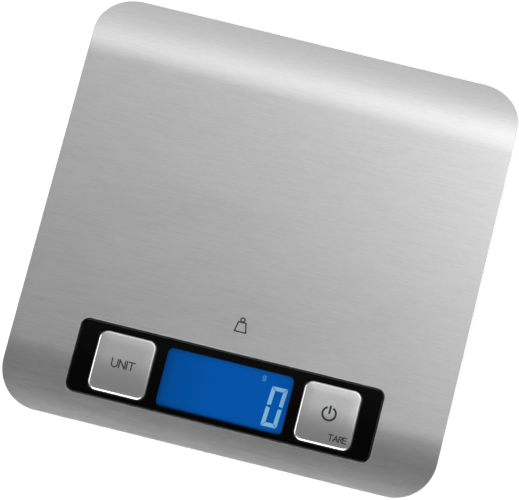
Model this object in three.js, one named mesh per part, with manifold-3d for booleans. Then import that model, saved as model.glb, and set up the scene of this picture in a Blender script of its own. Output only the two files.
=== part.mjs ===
// A flat digital kitchen scale, in millimetres, +Z up. The origin is on the table under the middle.
//
// A square brushed-steel weighing plate, rolled down along its front and back edges, is bonded to a
// black upper housing. A gloss fascia in the plate's cut-out holds two metal keys and the display.
// The upper housing stands on one end of an aluminium load cell, whose other end is bolted to a base
// tray with four rubber feet, two AAA cells and a battery door that tips out on two tabs.

import * as THREE from "three";
import { mergeVertices } from "three/addons/utils/BufferGeometryUtils.js";
import Module from "manifold-3d";

const wasm = await Module();
wasm.setup();

// ---- Driving dimensions ------------------------------------------------------------------------

const PLATE_SIZE = 220;
const PLATE_CORNER = 21;
const PLATE_THICKNESS = 0.8;
const TOP_Z = 22; // the plate's flat top above the table
const ROLL_WIDTH = 35; // each strip that rolls down, front and back
const ROLL_DROP = 6;

const ADHESIVE_SPACE = 0.5; // between the plate and the upper housing
const SHELL_WALL = 2;
const PLATFORM_TRAVEL = 0.5; // the load cell's give at full load, just before the overload stops meet
const KEY_TRAVEL = 0.5;
const RUNNING_GAP = 0.3; // around pieces that move past each other

const WINDOW = { width: 154.4, y0: -96.9, y1: -58.8, corner: 4.6 };
const DISPLAY = { width: 64, y0: -93.2, y1: -63.4, corner: 2.5 };
const KEY = { width: 29.4, depth: 31.1, corner: 3, x: 52.2, y: -78 };

const HOUSING_SIZE = PLATE_SIZE - 9;
const HOUSING_CORNER = 16.5;
const SKIRT_Z = 6.5; // lower edge of the upper housing's skirt
const BASE_SIZE = HOUSING_SIZE - 2 * SHELL_WALL - 2;
const BASE_CORNER = 13.5;
const FOOT = { radius: 7, height: 4, stands: 3, inset: 82 };

// ---- Values worked out from them ---------------------------------------------------------------

const HALF = PLATE_SIZE / 2;
const FLAT_HALF = HALF - ROLL_WIDTH;
const ROLL_RADIUS = (ROLL_WIDTH ** 2 + ROLL_DROP ** 2) / (2 * ROLL_DROP);
const ROLL_CENTRE_Z = TOP_Z - ROLL_RADIUS;
const HOUSING_TOP = PLATE_THICKNESS + ADHESIVE_SPACE; // depth of the housing's top under the surface
const HOUSING_UNDER = HOUSING_TOP + SHELL_WALL;
const CEILING_Z = TOP_Z - HOUSING_UNDER; // the housing's flat inner ceiling
const FLOOR_Z = FOOT.stands + SHELL_WALL; // the base tray's inner floor

const ROLL_STEPS = 4; // an arc gets twice as many segments as its curve steps
const CORNER_STEPS = 5;
const SMALL_CORNER_STEPS = 2;

// ---- Solids: three.js makes them, manifold-3d only joins and cuts ------------------------------

function solid(geometry) {
  const bare = geometry.index ? geometry.toNonIndexed() : geometry.clone();
  bare.deleteAttribute("normal");
  bare.deleteAttribute("uv");
  const merged = mergeVertices(bare, 1e-4);
  return new wasm.Manifold(
    new wasm.Mesh({
      numProp: 3,
      vertProperties: merged.attributes.position.array,
      triVerts: new Uint32Array(merged.index.array),
    }),
  );
}

function geometryOf(manifold) {
  const mesh = manifold.getMesh();
  const geometry = new THREE.BufferGeometry();
  geometry.setAttribute("position", new THREE.BufferAttribute(mesh.vertProperties, 3));
  geometry.setIndex(new THREE.BufferAttribute(mesh.triVerts, 1));
  geometry.computeVertexNormals();
  return geometry;
}

function union(...solids) {
  return solids.reduce((whole, next) => whole.add(next));
}

function cut(whole, ...tools) {
  return tools.reduce((left, tool) => left.subtract(tool), whole);
}

// A rectangle with round corners in the XY plane.
function roundedRectangle(x0, x1, y0, y1, corner) {
  const shape = new THREE.Shape();
  shape.moveTo(x0 + corner, y0);
  shape.lineTo(x1 - corner, y0);
  shape.absarc(x1 - corner, y0 + corner, corner, -Math.PI / 2, 0);
  shape.lineTo(x1, y1 - corner);
  shape.absarc(x1 - corner, y1 - corner, corner, 0, Math.PI / 2);
  shape.lineTo(x0 + corner, y1);
  shape.absarc(x0 + corner, y1 - corner, corner, Math.PI / 2, Math.PI);
  shape.lineTo(x0, y0 + corner);
  shape.absarc(x0 + corner, y0 + corner, corner, Math.PI, 1.5 * Math.PI);
  return shape;
}

function column(x0, x1, y0, y1, corner, z0, z1, curveSegments = SMALL_CORNER_STEPS) {
  const shape = roundedRectangle(x0, x1, y0, y1, corner);
  const geometry = new THREE.ExtrudeGeometry(shape, { depth: z1 - z0, bevelEnabled: false, curveSegments });
  return solid(geometry.translate(0, 0, z0));
}

// A column on the control window's outline, or on the display's, grown by a margin all round.
function outlineColumn(outline, grow, z0 = 0, z1 = TOP_Z + 5) {
  const half = outline.width / 2 + grow;
  return column(-half, half, outline.y0 - grow, outline.y1 + grow, outline.corner + grow, z0, z1);
}

function keyColumn(side, grow, z0 = 0, z1 = TOP_Z + 5) {
  const [halfX, halfY] = [KEY.width / 2 + grow, KEY.depth / 2 + grow];
  const x = side * KEY.x;
  return column(x - halfX, x + halfX, KEY.y - halfY, KEY.y + halfY, KEY.corner + grow, z0, z1);
}

function squareColumn(size, corner, z0, z1) {
  return column(-size / 2, size / 2, -size / 2, size / 2, corner, z0, z1, CORNER_STEPS);
}

function box(x0, x1, y0, y1, z0, z1) {
  const geometry = new THREE.BoxGeometry(x1 - x0, y1 - y0, z1 - z0);
  return solid(geometry.translate((x0 + x1) / 2, (y0 + y1) / 2, (z0 + z1) / 2));
}

function cylinder(radius, z0, z1, x = 0, y = 0, segments = 20) {
  const geometry = new THREE.CylinderGeometry(radius, radius, z1 - z0, segments);
  return solid(geometry.rotateX(Math.PI / 2).translate(x, y, (z0 + z1) / 2));
}

// A solid of revolution about Z from [radius, z] points that start and end on the axis, going up.
function lathe(points, segments = 20) {
  const profile = points.map(([radius, z]) => new THREE.Vector2(radius, z));
  return solid(new THREE.LatheGeometry(profile, segments).rotateX(Math.PI / 2));
}

// The plate's side profile, sunk by a depth measured square to the surface, as the upper boundary of
// a YZ shape. It runs a little past the plate's edges, where the outline columns trim it.
function addTopLine(shape, depth) {
  const radius = ROLL_RADIUS - depth;
  const turn = Math.asin((ROLL_WIDTH + 2) / radius);
  shape.absarc(-FLAT_HALF, ROLL_CENTRE_Z, radius, Math.PI / 2 + turn, Math.PI / 2, true);
  shape.lineTo(FLAT_HALF, TOP_Z - depth);
  shape.absarc(FLAT_HALF, ROLL_CENTRE_Z, radius, Math.PI / 2, Math.PI / 2 - turn, true);
}

function extrudeAlongX(shape, width) {
  const geometry = new THREE.ExtrudeGeometry(shape, {
    depth: width,
    bevelEnabled: false,
    curveSegments: ROLL_STEPS,
  });
  const yzPlane = new THREE.Matrix4().makeBasis(
    new THREE.Vector3(0, 1, 0),
    new THREE.Vector3(0, 0, 1),
    new THREE.Vector3(1, 0, 0),
  );
  return solid(geometry.applyMatrix4(yzPlane).translate(-width / 2, 0, 0));
}

// Everything under the plate's surface sunk by a depth, down to a level.
function under(depth, lowZ) {
  const shape = new THREE.Shape();
  addTopLine(shape, depth);
  const end = FLAT_HALF + ROLL_WIDTH + 2;
  shape.lineTo(end, lowZ);
  shape.lineTo(-end, lowZ);
  return extrudeAlongX(shape, PLATE_SIZE + 4);
}

// The layer between two depths under the plate's surface.
function layer(upperDepth, lowerDepth) {
  return under(upperDepth, -5).subtract(under(lowerDepth, -10));
}

function rod(points, radius, sides, steps) {
  const path = new THREE.CatmullRomCurve3(points.map((p) => new THREE.Vector3(...p)));
  const section = new THREE.Shape();
  for (let k = 0; k < sides; k++) {
    const angle = (2 * Math.PI * k) / sides;
    const [x, y] = [radius * Math.cos(angle), radius * Math.sin(angle)];
    k ? section.lineTo(x, y) : section.moveTo(x, y);
  }
  return new THREE.ExtrudeGeometry(section, { steps, bevelEnabled: false, extrudePath: path });
}

// ---- Materials ---------------------------------------------------------------------------------

function material(color, roughness, metalness) {
  return new THREE.MeshStandardMaterial({ color, roughness, metalness });
}

const MATERIALS = {
  steel: material(0xb9b9ba, 0.3, 1),
  key: material(0xb4b4b5, 0.28, 1),
  gloss: material(0x060606, 0.12, 0),
  black: material(0x17181a, 0.6, 0),
  lens: material(0xdfe8f0, 0.05, 0),
  display: material(0x0055ad, 0.2, 0),
  light: material(0xe8eef2, 0.4, 0),
  rubber: material(0x262728, 0.85, 0),
  board: material(0x1d5a38, 0.5, 0),
  epoxy: material(0x101010, 0.4, 0),
  aluminium: material(0xc6c8ca, 0.4, 1),
  silicone: material(0xe9e7df, 0.7, 0),
  zinc: material(0xc9ccd0, 0.3, 1),
  nickel: material(0xd4d0c4, 0.25, 1),
  cell: material(0x2f5f9e, 0.35, 0),
  foam: material(0xd8d8d4, 0.9, 0),
  redWire: material(0xb3201d, 0.5, 0),
  blackWire: material(0x141414, 0.5, 0),
  greyWire: material(0x8c8c8c, 0.5, 0),
};

function piece(name, shape, finish) {
  const geometry = shape.isBufferGeometry ? shape : geometryOf(shape);
  const mesh = new THREE.Mesh(geometry, MATERIALS[finish]);
  mesh.name = name;
  return mesh;
}

// ---- Weighing platform -------------------------------------------------------------------------

function platformPlate() {
  const outline = squareColumn(PLATE_SIZE, PLATE_CORNER, 0, TOP_Z + 5);
  const sheet = layer(0, PLATE_THICKNESS).intersect(outline);
  return piece("platform_plate", sheet.subtract(outlineColumn(WINDOW, 0)), "steel");
}

function adhesiveSheet() {
  const outline = squareColumn(HOUSING_SIZE - 2, HOUSING_CORNER - 1, 0, TOP_Z + 5);
  const sheet = layer(PLATE_THICKNESS + 0.05, HOUSING_TOP - 0.05).intersect(outline);
  return piece("adhesive_sheet", sheet.subtract(outlineColumn(WINDOW, 2.5)), "foam");
}

const BOARD = { halfX: 72, y0: -101, y1: -53, z0: 10.7, z1: 12.3 };
const BOARD_SCREWS = [
  [-66, -56.5],
  [66, -56.5],
  [-66, -98],
  [66, -98],
];
const PLATFORM_BOLTS = [16, 26]; // along X, through the load cell's free end
const BASE_BOLTS = [-26, -16]; // along X, through its fixed end
const BOLT_HOLE = 2.2;

function upperHousing() {
  const wall = squareColumn(HOUSING_SIZE, HOUSING_CORNER, SKIRT_Z, TOP_Z);
  const inner = HOUSING_SIZE - 2 * SHELL_WALL;
  const room = squareColumn(inner, HOUSING_CORNER - SHELL_WALL, SKIRT_Z - 1, TOP_Z);
  const shell = under(HOUSING_TOP, 0).intersect(wall).subtract(under(HOUSING_UNDER, -5).intersect(room));

  const ribLow = CEILING_Z - 4;
  const ribs = [-90, -60, 60, 90].map((x) => box(x - 0.7, x + 0.7, -50, 96, ribLow, TOP_Z));
  ribs.push(box(-96, 96, 74.3, 75.7, ribLow, TOP_Z), box(-96, 96, -49.7, -48.3, ribLow, TOP_Z));
  const posts = BOARD_SCREWS.map(([x, y]) => cylinder(3, BOARD.z1, TOP_Z, x, y));
  const inside = union(...ribs, ...posts).intersect(under(HOUSING_TOP + 0.5, 0));

  const pocket = outlineColumn(WINDOW, 0.1).intersect(layer(-2, 2.45));
  const opening = outlineColumn(WINDOW, -1.4);
  const pilots = BOARD_SCREWS.map(([x, y]) => cylinder(1.45, BOARD.z1 - 1, 17, x, y, 12));
  const sinks = PLATFORM_BOLTS.map((x) => {
    const [low, high] = [CEILING_Z, TOP_Z - HOUSING_TOP];
    const cone = [[0, low - 1], [2.3, low - 1], [2.3, low], [4.1, high], [4.1, high + 1], [0, high + 1]];
    return lathe(cone).translate(x, 0, 0);
  });
  return piece("upper_housing", cut(shell.add(inside), pocket, opening, ...pilots, ...sinks), "black");
}

// ---- Control module: fascia, lens, keys, display and board -------------------------------------

const FASCIA = { rim: 0.15, rimWidth: 0.8, field: 0.95, back: 2.4 }; // depths under the surface
const COVER_BACK = 1.45; // depth of the clear cover's back

function controlFascia() {
  const body = outlineColumn(WINDOW, -0.2).intersect(layer(FASCIA.rim, FASCIA.back));
  const field = outlineColumn(WINDOW, -0.2 - FASCIA.rimWidth).intersect(layer(-2, FASCIA.field));
  const holes = [-1, 1].map((side) => keyColumn(side, 0.25));
  return piece("control_fascia", cut(body, field, ...holes, outlineColumn(DISPLAY, 0)), "gloss");
}

function displayWindow() {
  const lens = outlineColumn(DISPLAY, -0.15).intersect(layer(FASCIA.field, COVER_BACK));
  return piece("display_window", lens, "lens");
}

const KEY_TOP = 0.1; // depths under the surface
const KEY_CAP_BACK = 1.6;
const SWITCH = { half: 3.1, z1: 15.7, bore: 1.95, boreZ: 13.3 };
const PLUNGER = { radius: 1.7, z0: SWITCH.boreZ + KEY_TRAVEL + 0.5, z1: 16.8 };

function keyCap(name, side) {
  return piece(name, keyColumn(side, 0).intersect(layer(KEY_TOP, KEY_CAP_BACK)), "key");
}

// The cap's plastic carrier: a neck in the fascia, a flange under it and a stem on the switch.
function keyCarrier(name, side) {
  const flangeTop = FASCIA.back + 0.25;
  const neck = keyColumn(side, -0.3).intersect(layer(KEY_CAP_BACK + 0.05, flangeTop + 0.5));
  const flange = keyColumn(side, 1).intersect(layer(flangeTop, flangeTop + 1));
  const stem = cylinder(2.5, PLUNGER.z1 + 0.05, CEILING_Z, side * KEY.x, KEY.y);
  return piece(name, union(neck, flange, stem), "black");
}

function keySwitch(name, side) {
  const x = side * KEY.x;
  const { half, z1, bore, boreZ } = SWITCH;
  const body = box(x - half, x + half, KEY.y - half, KEY.y + half, BOARD.z1, z1);
  return piece(name, body.subtract(cylinder(bore, boreZ, z1 + 1, x, KEY.y, 16)), "epoxy");
}

function switchPlunger(name, side) {
  return piece(name, cylinder(PLUNGER.radius, PLUNGER.z0, PLUNGER.z1, side * KEY.x, KEY.y, 16), "silicone");
}

const LCD = { halfX: 33.5, y0: -95, y1: -62, z0: 14.8, z1: 17.4 };

// The display's glass carries the resin that bonds it up against the clear cover.
function displayStack() {
  const { halfX, y0, y1, z0, z1 } = LCD;
  const glass = box(-halfX, halfX, y0, y1, z0, z1);
  const resin = outlineColumn(DISPLAY, -0.15, z1 - 0.5).intersect(under(COVER_BACK + 0.05, 0));
  const outer = box(-halfX - 2.5, halfX + 2.5, y0 - 1.4, y1 + 1.4, BOARD.z1, 16.2);
  const inner = box(-halfX - 0.3, halfX + 0.3, y0 - 0.3, y1 + 0.3, 0, TOP_Z);
  return [
    piece("lcd_glass", glass.add(resin), "display"),
    piece("lcd_holder", outer.subtract(inner), "black"),
    piece("backlight_panel", box(-32.5, 32.5, y0 + 2.4, y1 - 0.6, BOARD.z1, z0 - 0.1), "light"),
    piece("lcd_contact_strip", box(-30, 30, y0 + 0.1, y0 + 1.9, BOARD.z1, z0), "silicone"),
  ];
}

function mainBoard() {
  const sheet = box(-BOARD.halfX, BOARD.halfX, BOARD.y0, BOARD.y1, BOARD.z0, BOARD.z1);
  const holes = BOARD_SCREWS.map(([x, y]) => cylinder(1.6, 0, TOP_Z, x, y, 12));
  return piece("main_board", cut(sheet, ...holes), "board");
}

function controllerChip() {
  const blob = lathe([[0, 9.2], [2.6, 9.3], [4.8, 9.8], [6, BOARD.z0], [0, BOARD.z0]]);
  return piece("controller_chip", blob.translate(-20, -58.5, 0), "epoxy");
}

function boardScrew(name, x, y) {
  const top = BOARD.z0;
  const head = [[0, top - 1.6], [1.7, top - 1.6], [2.4, top - 1], [2.4, top]];
  const shank = [[1.15, top], [1.15, 16], [0, 16.5]];
  const mesh = piece(name, lathe([...head, ...shank], 12), "zinc");
  mesh.position.set(x, y, 0);
  return mesh;
}

// ---- Load cell between the platform and the base -----------------------------------------------

const CELL = { halfX: 30, halfY: 6.35, z0: 8, z1: 16, boreX: 7, bore: 2.6 };
const BRACKET = { halfX: 35, halfY: 22, padX: 11 };
const BASE_PAD_Z = 6; // the base's thickened seat under the load cell

function loadCell() {
  const middle = (CELL.z0 + CELL.z1) / 2;
  const bar = box(-CELL.halfX, CELL.halfX, -CELL.halfY, CELL.halfY, CELL.z0, CELL.z1);
  const bores = [-1, 1].map((side) => {
    const bore = cylinder(CELL.bore, -CELL.halfY - 1, CELL.halfY + 1).rotate([90, 0, 0]);
    return bore.translate(side * CELL.boreX, 0, middle);
  });
  const slot = box(-CELL.boreX, CELL.boreX, -CELL.halfY - 1, CELL.halfY + 1, middle - 0.8, middle + 0.8);
  const holes = [...PLATFORM_BOLTS, ...BASE_BOLTS].map((x) => cylinder(BOLT_HOLE, 0, TOP_Z, x, 0, 16));
  return piece("load_cell", cut(bar, ...bores, slot, ...holes), "aluminium");
}

function loadCellFittings() {
  const { halfX, halfY, padX } = BRACKET;
  const { halfX: end, halfY: side, z0, z1 } = CELL;
  const holes = (places) => places.map((x) => cylinder(BOLT_HOLE, 0, TOP_Z, x, 0, 16));
  const upper = union(
    box(-halfX, halfX, -halfY, halfY, CEILING_Z - 1.2, CEILING_Z),
    box(padX, end, -side, side, z1, CEILING_Z - 1),
  );
  const lower = union(
    box(-halfX, halfX, -halfY, halfY, BASE_PAD_Z, BASE_PAD_Z + 1),
    box(-end, -padX, -side, side, BASE_PAD_Z + 0.5, z0),
  );
  return [
    piece("platform_bracket", cut(upper, ...holes(PLATFORM_BOLTS)), "zinc"),
    piece("base_bracket", cut(lower, ...holes(BASE_BOLTS)), "zinc"),
    piece("upper_gauge_coating", box(-10, 10, -5, 5, z1, z1 + 0.7), "silicone"),
    piece("lower_gauge_coating", box(-10, 10, -5, 5, z0 - 0.7, z0), "silicone"),
  ];
}

function platformBolt(name, x) {
  const [low, high] = [CEILING_Z + 0.2, TOP_Z - HOUSING_TOP - 0.1];
  const profile = [[0, 10], [1.5, 10], [1.9, 10.5], [1.9, low], [3.8, high], [0, high]];
  const mesh = piece(name, lathe(profile, 16), "zinc");
  mesh.position.x = x;
  return mesh;
}

const BOLT_HEAD_Z = 5.2; // where the base bolts' heads bear, inside their counterbores

function baseBolt(name, x) {
  const low = BOLT_HEAD_Z - 1.8;
  const profile = [
    [0, low], [2.4, low], [3.6, low + 0.7], [3.6, BOLT_HEAD_Z],
    [1.9, BOLT_HEAD_Z], [1.9, 13], [1.5, 13.5], [0, 13.5],
  ];
  const mesh = piece(name, lathe(profile, 16), "zinc");
  mesh.position.x = x;
  return mesh;
}

// ---- Battery bay -------------------------------------------------------------------------------

const AAA = { radius: 5.25, length: 43.5, nub: 1.9, nubHeight: 0.8 };
const BAY = { halfX: 26, y0: 33.8, y1: 56.2, z1: 16, wall: 1.4 };
const BATTERY_Y = [39.6, 50.4];
const BATTERY_Z = 10.4;
const CONTACT = { x0: 25.4, x1: 25.8, z0: 5.8, z1: 14.8 };
const DOOR = { halfX: 26.8, y0: 32.7, y1: 57.3, z1: 4.6 };
const TABS = { x: [-15, 15], halfX: 3, reach: 2.3 };
const LATCH = { halfX: 6, y0: 31, y1: 34, top: 8.8, leaf: 0.8, nose: 0.7 };

// Side is +1 where the positive nub points along +X.
function battery(name, side, y) {
  const start = CONTACT.x0 - 0.05 - AAA.nubHeight - AAA.length;
  const profile = [
    [0, 0], [4.6, 0], [AAA.radius, 0.5], [AAA.radius, AAA.length - 0.5], [4.6, AAA.length],
    [AAA.nub, AAA.length], [AAA.nub, AAA.length + AAA.nubHeight], [0, AAA.length + AAA.nubHeight],
  ];
  const mesh = piece(name, lathe(profile, 24), "cell");
  mesh.rotation.y = (side * Math.PI) / 2;
  mesh.position.set(side * start, y, BATTERY_Z);
  return mesh;
}

// A conical helix from its contact plate to the battery's flat end.
function contactSpring(name, side, y) {
  const [turns, perTurn, wire] = [3.5, 10, 0.35];
  const [far, near] = [CONTACT.x0 - 0.45, 19.55];
  const points = [];
  for (let k = 0; k <= turns * perTurn; k++) {
    const share = k / (turns * perTurn);
    const angle = 2 * Math.PI * turns * share;
    const radius = 3.4 - 1.2 * share;
    const x = side * (far + (near - far) * share);
    points.push([x, y + radius * Math.cos(angle), BATTERY_Z + radius * Math.sin(angle)]);
  }
  return piece(name, rod(points, wire, 6, 36), "nickel");
}

function batteryContacts() {
  const { x0, x1, z0, z1 } = CONTACT;
  const plate = (side, y0, y1) => (side > 0 ? box(x0, x1, y0, y1, z0, z1) : box(-x1, -x0, y0, y1, z0, z1));
  const tab = (y) => box(x0, BAY.halfX + BAY.wall + 1.6, y - 1.5, y + 1.5, 8.6, 9);
  const [first, second] = BATTERY_Y;
  return [
    piece("contact_link", plate(-1, first - 4.6, second + 4.6), "nickel"),
    piece("contact_positive", plate(1, first - 4.5, first + 4.5).add(tab(first)), "nickel"),
    piece("contact_negative", plate(1, second - 4.5, second + 4.5).add(tab(second)), "nickel"),
    contactSpring("contact_spring_left", -1, first),
    contactSpring("contact_spring_right", 1, second),
  ];
}

// The door rocks on its back edge, where two tabs reach over the base's floor.
function batteryDoor() {
  const { halfX, y0, y1, z1 } = DOOR;
  const [tabLow, tabHigh] = [FLOOR_Z + 0.1, FLOOR_Z + 0.9];
  const panel = box(-halfX, halfX, y0, y1, FOOT.stands, z1);
  const tabs = TABS.x.map((x) =>
    union(
      box(x - TABS.halfX, x + TABS.halfX, y1 - 2.1, y1 - 0.1, z1 - 0.5, tabHigh),
      box(x - TABS.halfX, x + TABS.halfX, y1 - 0.5, y1 + TABS.reach, tabLow, tabHigh),
    ),
  );
  return piece("battery_door", union(panel, ...tabs), "black");
}

// The springy loop on the door's front edge, whose nose catches over the base's floor. It bends as the
// door opens, so it is a piece of its own.
function doorLatch() {
  const { halfX, y0, y1, top, leaf, nose } = LATCH;
  const loop = union(
    box(-halfX, halfX, y1 - leaf, y1, DOOR.z1, top),
    box(-halfX, halfX, y0, y1, top - leaf, top),
    box(-halfX, halfX, y0, y0 + leaf, FOOT.stands + 0.2, top),
    box(-halfX, halfX, y0 - nose, y0 + 0.5, FLOOR_Z + 0.1, FLOOR_Z + 0.9),
  );
  return piece("battery_door_latch", loop, "black");
}

// ---- Base tray and feet ------------------------------------------------------------------------

const STOPS = [-1, 1].flatMap((sy) => [-1, 1].map((sx) => [sx * 84, sy * 62]));
const FEET = [-1, 1].flatMap((sy) => [-1, 1].map((sx) => [sx * FOOT.inset, sy * FOOT.inset]));
const BASE_RIM_Z = 9;
const BASE_RIB_Z = 8;
const RIB_HALF = 0.7;
const HEAD_BORE = 4; // counterbores round the base bolts' heads

function baseTray() {
  const low = FOOT.stands;
  const rooted = FLOOR_Z - 1; // what stands on the floor starts inside it
  const inner = BASE_SIZE - 2 * SHELL_WALL;
  const floor = squareColumn(BASE_SIZE, BASE_CORNER, low, FLOOR_Z);
  const rimInner = squareColumn(inner, BASE_CORNER - SHELL_WALL, low, TOP_Z);
  const rim = squareColumn(BASE_SIZE, BASE_CORNER, rooted, BASE_RIM_Z).subtract(rimInner);
  const [seatX, seatY] = [BRACKET.halfX + 2, BRACKET.halfY + 2];
  const seat = box(-seatX, seatX, -seatY, seatY, rooted, BASE_PAD_Z);
  const stopTop = CEILING_Z - PLATFORM_TRAVEL - 0.05;
  const stops = STOPS.map(([x, y]) => cylinder(3, rooted, stopTop, x, y, 16));
  const reach = inner / 2 + 0.5;
  const ribs = [-50, 50].map((x) => box(x - RIB_HALF, x + RIB_HALF, -reach, reach, rooted, BASE_RIB_Z));
  ribs.push(...[-45, 72].map((y) => box(-reach, reach, y - RIB_HALF, y + RIB_HALF, rooted, BASE_RIB_Z)));
  const { halfX, y0, y1, z1, wall } = BAY;
  const bay = box(-halfX - wall, halfX + wall, y0 - wall, y1 + wall, rooted, z1 + 1.2);

  const gap = RUNNING_GAP;
  const latchTop = LATCH.top + 0.4;
  const tools = [
    box(-halfX, halfX, y0, y1, 0, z1),
    box(-DOOR.halfX - gap, DOOR.halfX + gap, DOOR.y0 - gap, DOOR.y1 + gap, 0, DOOR.z1 + 0.1),
    box(-LATCH.halfX - 0.4, LATCH.halfX + 0.4, LATCH.y0 - gap, y0 + 0.1, 0, latchTop), // room for the latch
    box(-8, 8, LATCH.y0 - 7.5, LATCH.y0 - 0.2, 0, low + 1.2), // finger recess in front of it
    ...TABS.x.map((x) => {
      const half = TABS.halfX + 0.4;
      return box(x - half, x + half, y1 - 0.1, y1 + wall + 0.1, FLOOR_Z - 0.4, FLOOR_Z + 2.2);
    }),
    ...BATTERY_Y.map((y) => box(halfX - 0.1, halfX + wall + 0.1, y - 1.8, y + 1.8, 8.2, 9.4)), // contact tabs
    ...BASE_BOLTS.map((x) => cylinder(HEAD_BORE, 0, BOLT_HEAD_Z, x, 0)),
    ...BASE_BOLTS.map((x) => cylinder(BOLT_HOLE, 0, TOP_Z, x, 0, 16)),
    ...FEET.map(([x, y]) => cylinder(FOOT.radius + gap, 0, FOOT.height, x, y, 28)),
  ];
  return piece("base_tray", cut(union(floor, rim, seat, bay, ...stops, ...ribs), ...tools), "black");
}

function foot(name, x, y) {
  const { radius, height } = FOOT;
  const tread = [[0, 0], [radius - 1.2, 0], [radius - 0.4, 0.4], [radius, 1.3]];
  const mesh = piece(name, lathe([...tread, [radius, height], [0, height]], 28), "rubber");
  mesh.position.set(x, y, 0);
  return mesh;
}

// ---- Leads inside ------------------------------------------------------------------------------

function leads() {
  const tabX = BAY.halfX + BAY.wall + 2.4;
  const [first, second] = BATTERY_Y;
  const boardZ = BOARD.z1 + 1;
  const route = (y, bend, end) => [
    [tabX, y, 10.2], [bend - 3, y - 3, 10.6], [bend, y - 12, 10.8], [bend, 0, 10.8],
    [bend, -36, 11.4], [end + 4, -46, 13], [end, -52, boardZ], [end, -56, boardZ],
  ];
  const cellRoute = [
    [0, -7.4, 12], [-1, -12, 11.4], [-4, -22, 11], [-8, -36, 11.6],
    [-10, -46, 13], [-10, -52, boardZ], [-10, -56, boardZ],
  ];
  return [
    piece("battery_lead_red", rod(route(first, 43, 24), 0.7, 8, 28), "redWire"),
    piece("battery_lead_black", rod(route(second, 46, 28), 0.7, 8, 28), "blackWire"),
    piece("load_cell_lead", rod(cellRoute, 0.9, 8, 24), "greyWire"),
  ];
}

// ---- Assembly ----------------------------------------------------------------------------------

const platform = new THREE.Group();
platform.add(platformPlate(), adhesiveSheet(), upperHousing(), controlFascia(), displayWindow());
platform.add(...displayStack(), mainBoard(), controllerChip(), ...leads());
BOARD_SCREWS.forEach(([x, y], k) => platform.add(boardScrew(`board_screw_${k + 1}`, x, y)));
PLATFORM_BOLTS.forEach((x, k) => platform.add(platformBolt(`platform_bolt_${k + 1}`, x)));

const keys = new THREE.Group();
for (const [name, side] of [["unit", -1], ["tare", 1]]) {
  platform.add(keySwitch(`${name}_switch`, side));
  keys.add(keyCap(`${name}_key_cap`, side), keyCarrier(`${name}_key_carrier`, side));
  keys.add(switchPlunger(`${name}_switch_plunger`, side));
}

const base = new THREE.Group();
base.add(baseTray(), loadCell(), ...loadCellFittings(), ...batteryContacts());
base.add(battery("battery_1", 1, BATTERY_Y[0]), battery("battery_2", -1, BATTERY_Y[1]));
BASE_BOLTS.forEach((x, k) => base.add(baseBolt(`base_bolt_${k + 1}`, x)));
FEET.forEach(([x, y], k) => base.add(foot(`foot_${k + 1}`, x, y)));

const door = new THREE.Group();
door.add(batteryDoor(), doorLatch());

const scale = new THREE.Group();
scale.add(platform, keys, base, door);

export default scale;
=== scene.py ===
import math

import bmesh
import bpy
from mathutils import Matrix, Quaternion, Vector
from mathutils.bvhtree import BVHTree


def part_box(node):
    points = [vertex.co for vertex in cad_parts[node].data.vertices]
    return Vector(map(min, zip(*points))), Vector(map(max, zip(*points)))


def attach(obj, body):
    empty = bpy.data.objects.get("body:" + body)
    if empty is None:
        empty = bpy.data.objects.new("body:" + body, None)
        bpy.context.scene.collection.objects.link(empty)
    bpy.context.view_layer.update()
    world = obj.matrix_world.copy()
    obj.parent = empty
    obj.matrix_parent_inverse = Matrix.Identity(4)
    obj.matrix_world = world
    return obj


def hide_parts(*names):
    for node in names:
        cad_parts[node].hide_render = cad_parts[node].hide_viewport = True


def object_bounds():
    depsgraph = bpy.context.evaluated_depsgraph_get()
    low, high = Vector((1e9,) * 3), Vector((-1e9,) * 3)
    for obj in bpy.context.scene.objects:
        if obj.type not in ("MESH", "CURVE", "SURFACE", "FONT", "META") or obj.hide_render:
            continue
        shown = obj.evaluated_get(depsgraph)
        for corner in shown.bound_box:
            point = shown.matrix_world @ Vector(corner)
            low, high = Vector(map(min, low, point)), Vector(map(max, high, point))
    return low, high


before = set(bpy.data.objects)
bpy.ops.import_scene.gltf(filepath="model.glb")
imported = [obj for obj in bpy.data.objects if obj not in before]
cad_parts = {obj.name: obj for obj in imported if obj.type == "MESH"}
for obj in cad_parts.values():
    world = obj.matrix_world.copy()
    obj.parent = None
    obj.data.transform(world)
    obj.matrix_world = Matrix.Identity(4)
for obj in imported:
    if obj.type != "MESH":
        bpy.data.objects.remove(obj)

MM = 0.001
scene = bpy.context.scene

# ---- The table and the studio --------------------------------------------------------------------
# A pale glowing light table under the scale, with soft boxes behind, in front and at both sides.
# The camera looks steeply down from the front with a long lens, a little to the right and turned.

cad_low, cad_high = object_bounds()
middle = (cad_low + cad_high) / 2

TABLE_HALF = 3.0
TABLE_GLOW = 0.55
SOFT_BOXES = {
    # name: (azimuth from +Y towards -X, elevation, width, height, watts), with the angles in degrees
    "back_high": (0, 73, 1.3, 0.30, 0.4),
    "back": (0, 58, 1.3, 0.35, 2.7),
    "back_middle": (0, 44, 1.3, 0.35, 1.2),
    "back_low": (0, 28, 1.6, 0.45, 2.0),
    "back_right": (-42, 60, 0.7, 0.60, 4.0),
    "front_high": (180, 50, 1.4, 0.40, 2.0),
    "front_low": (180, 25, 1.6, 0.50, 21.0),
    "left_low": (90, 28, 1.4, 0.60, 12.0),
    "right_low": (-90, 28, 1.4, 0.60, 0.5),
}
BOX_DISTANCE = 1.7
SKY = 0.15


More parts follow.
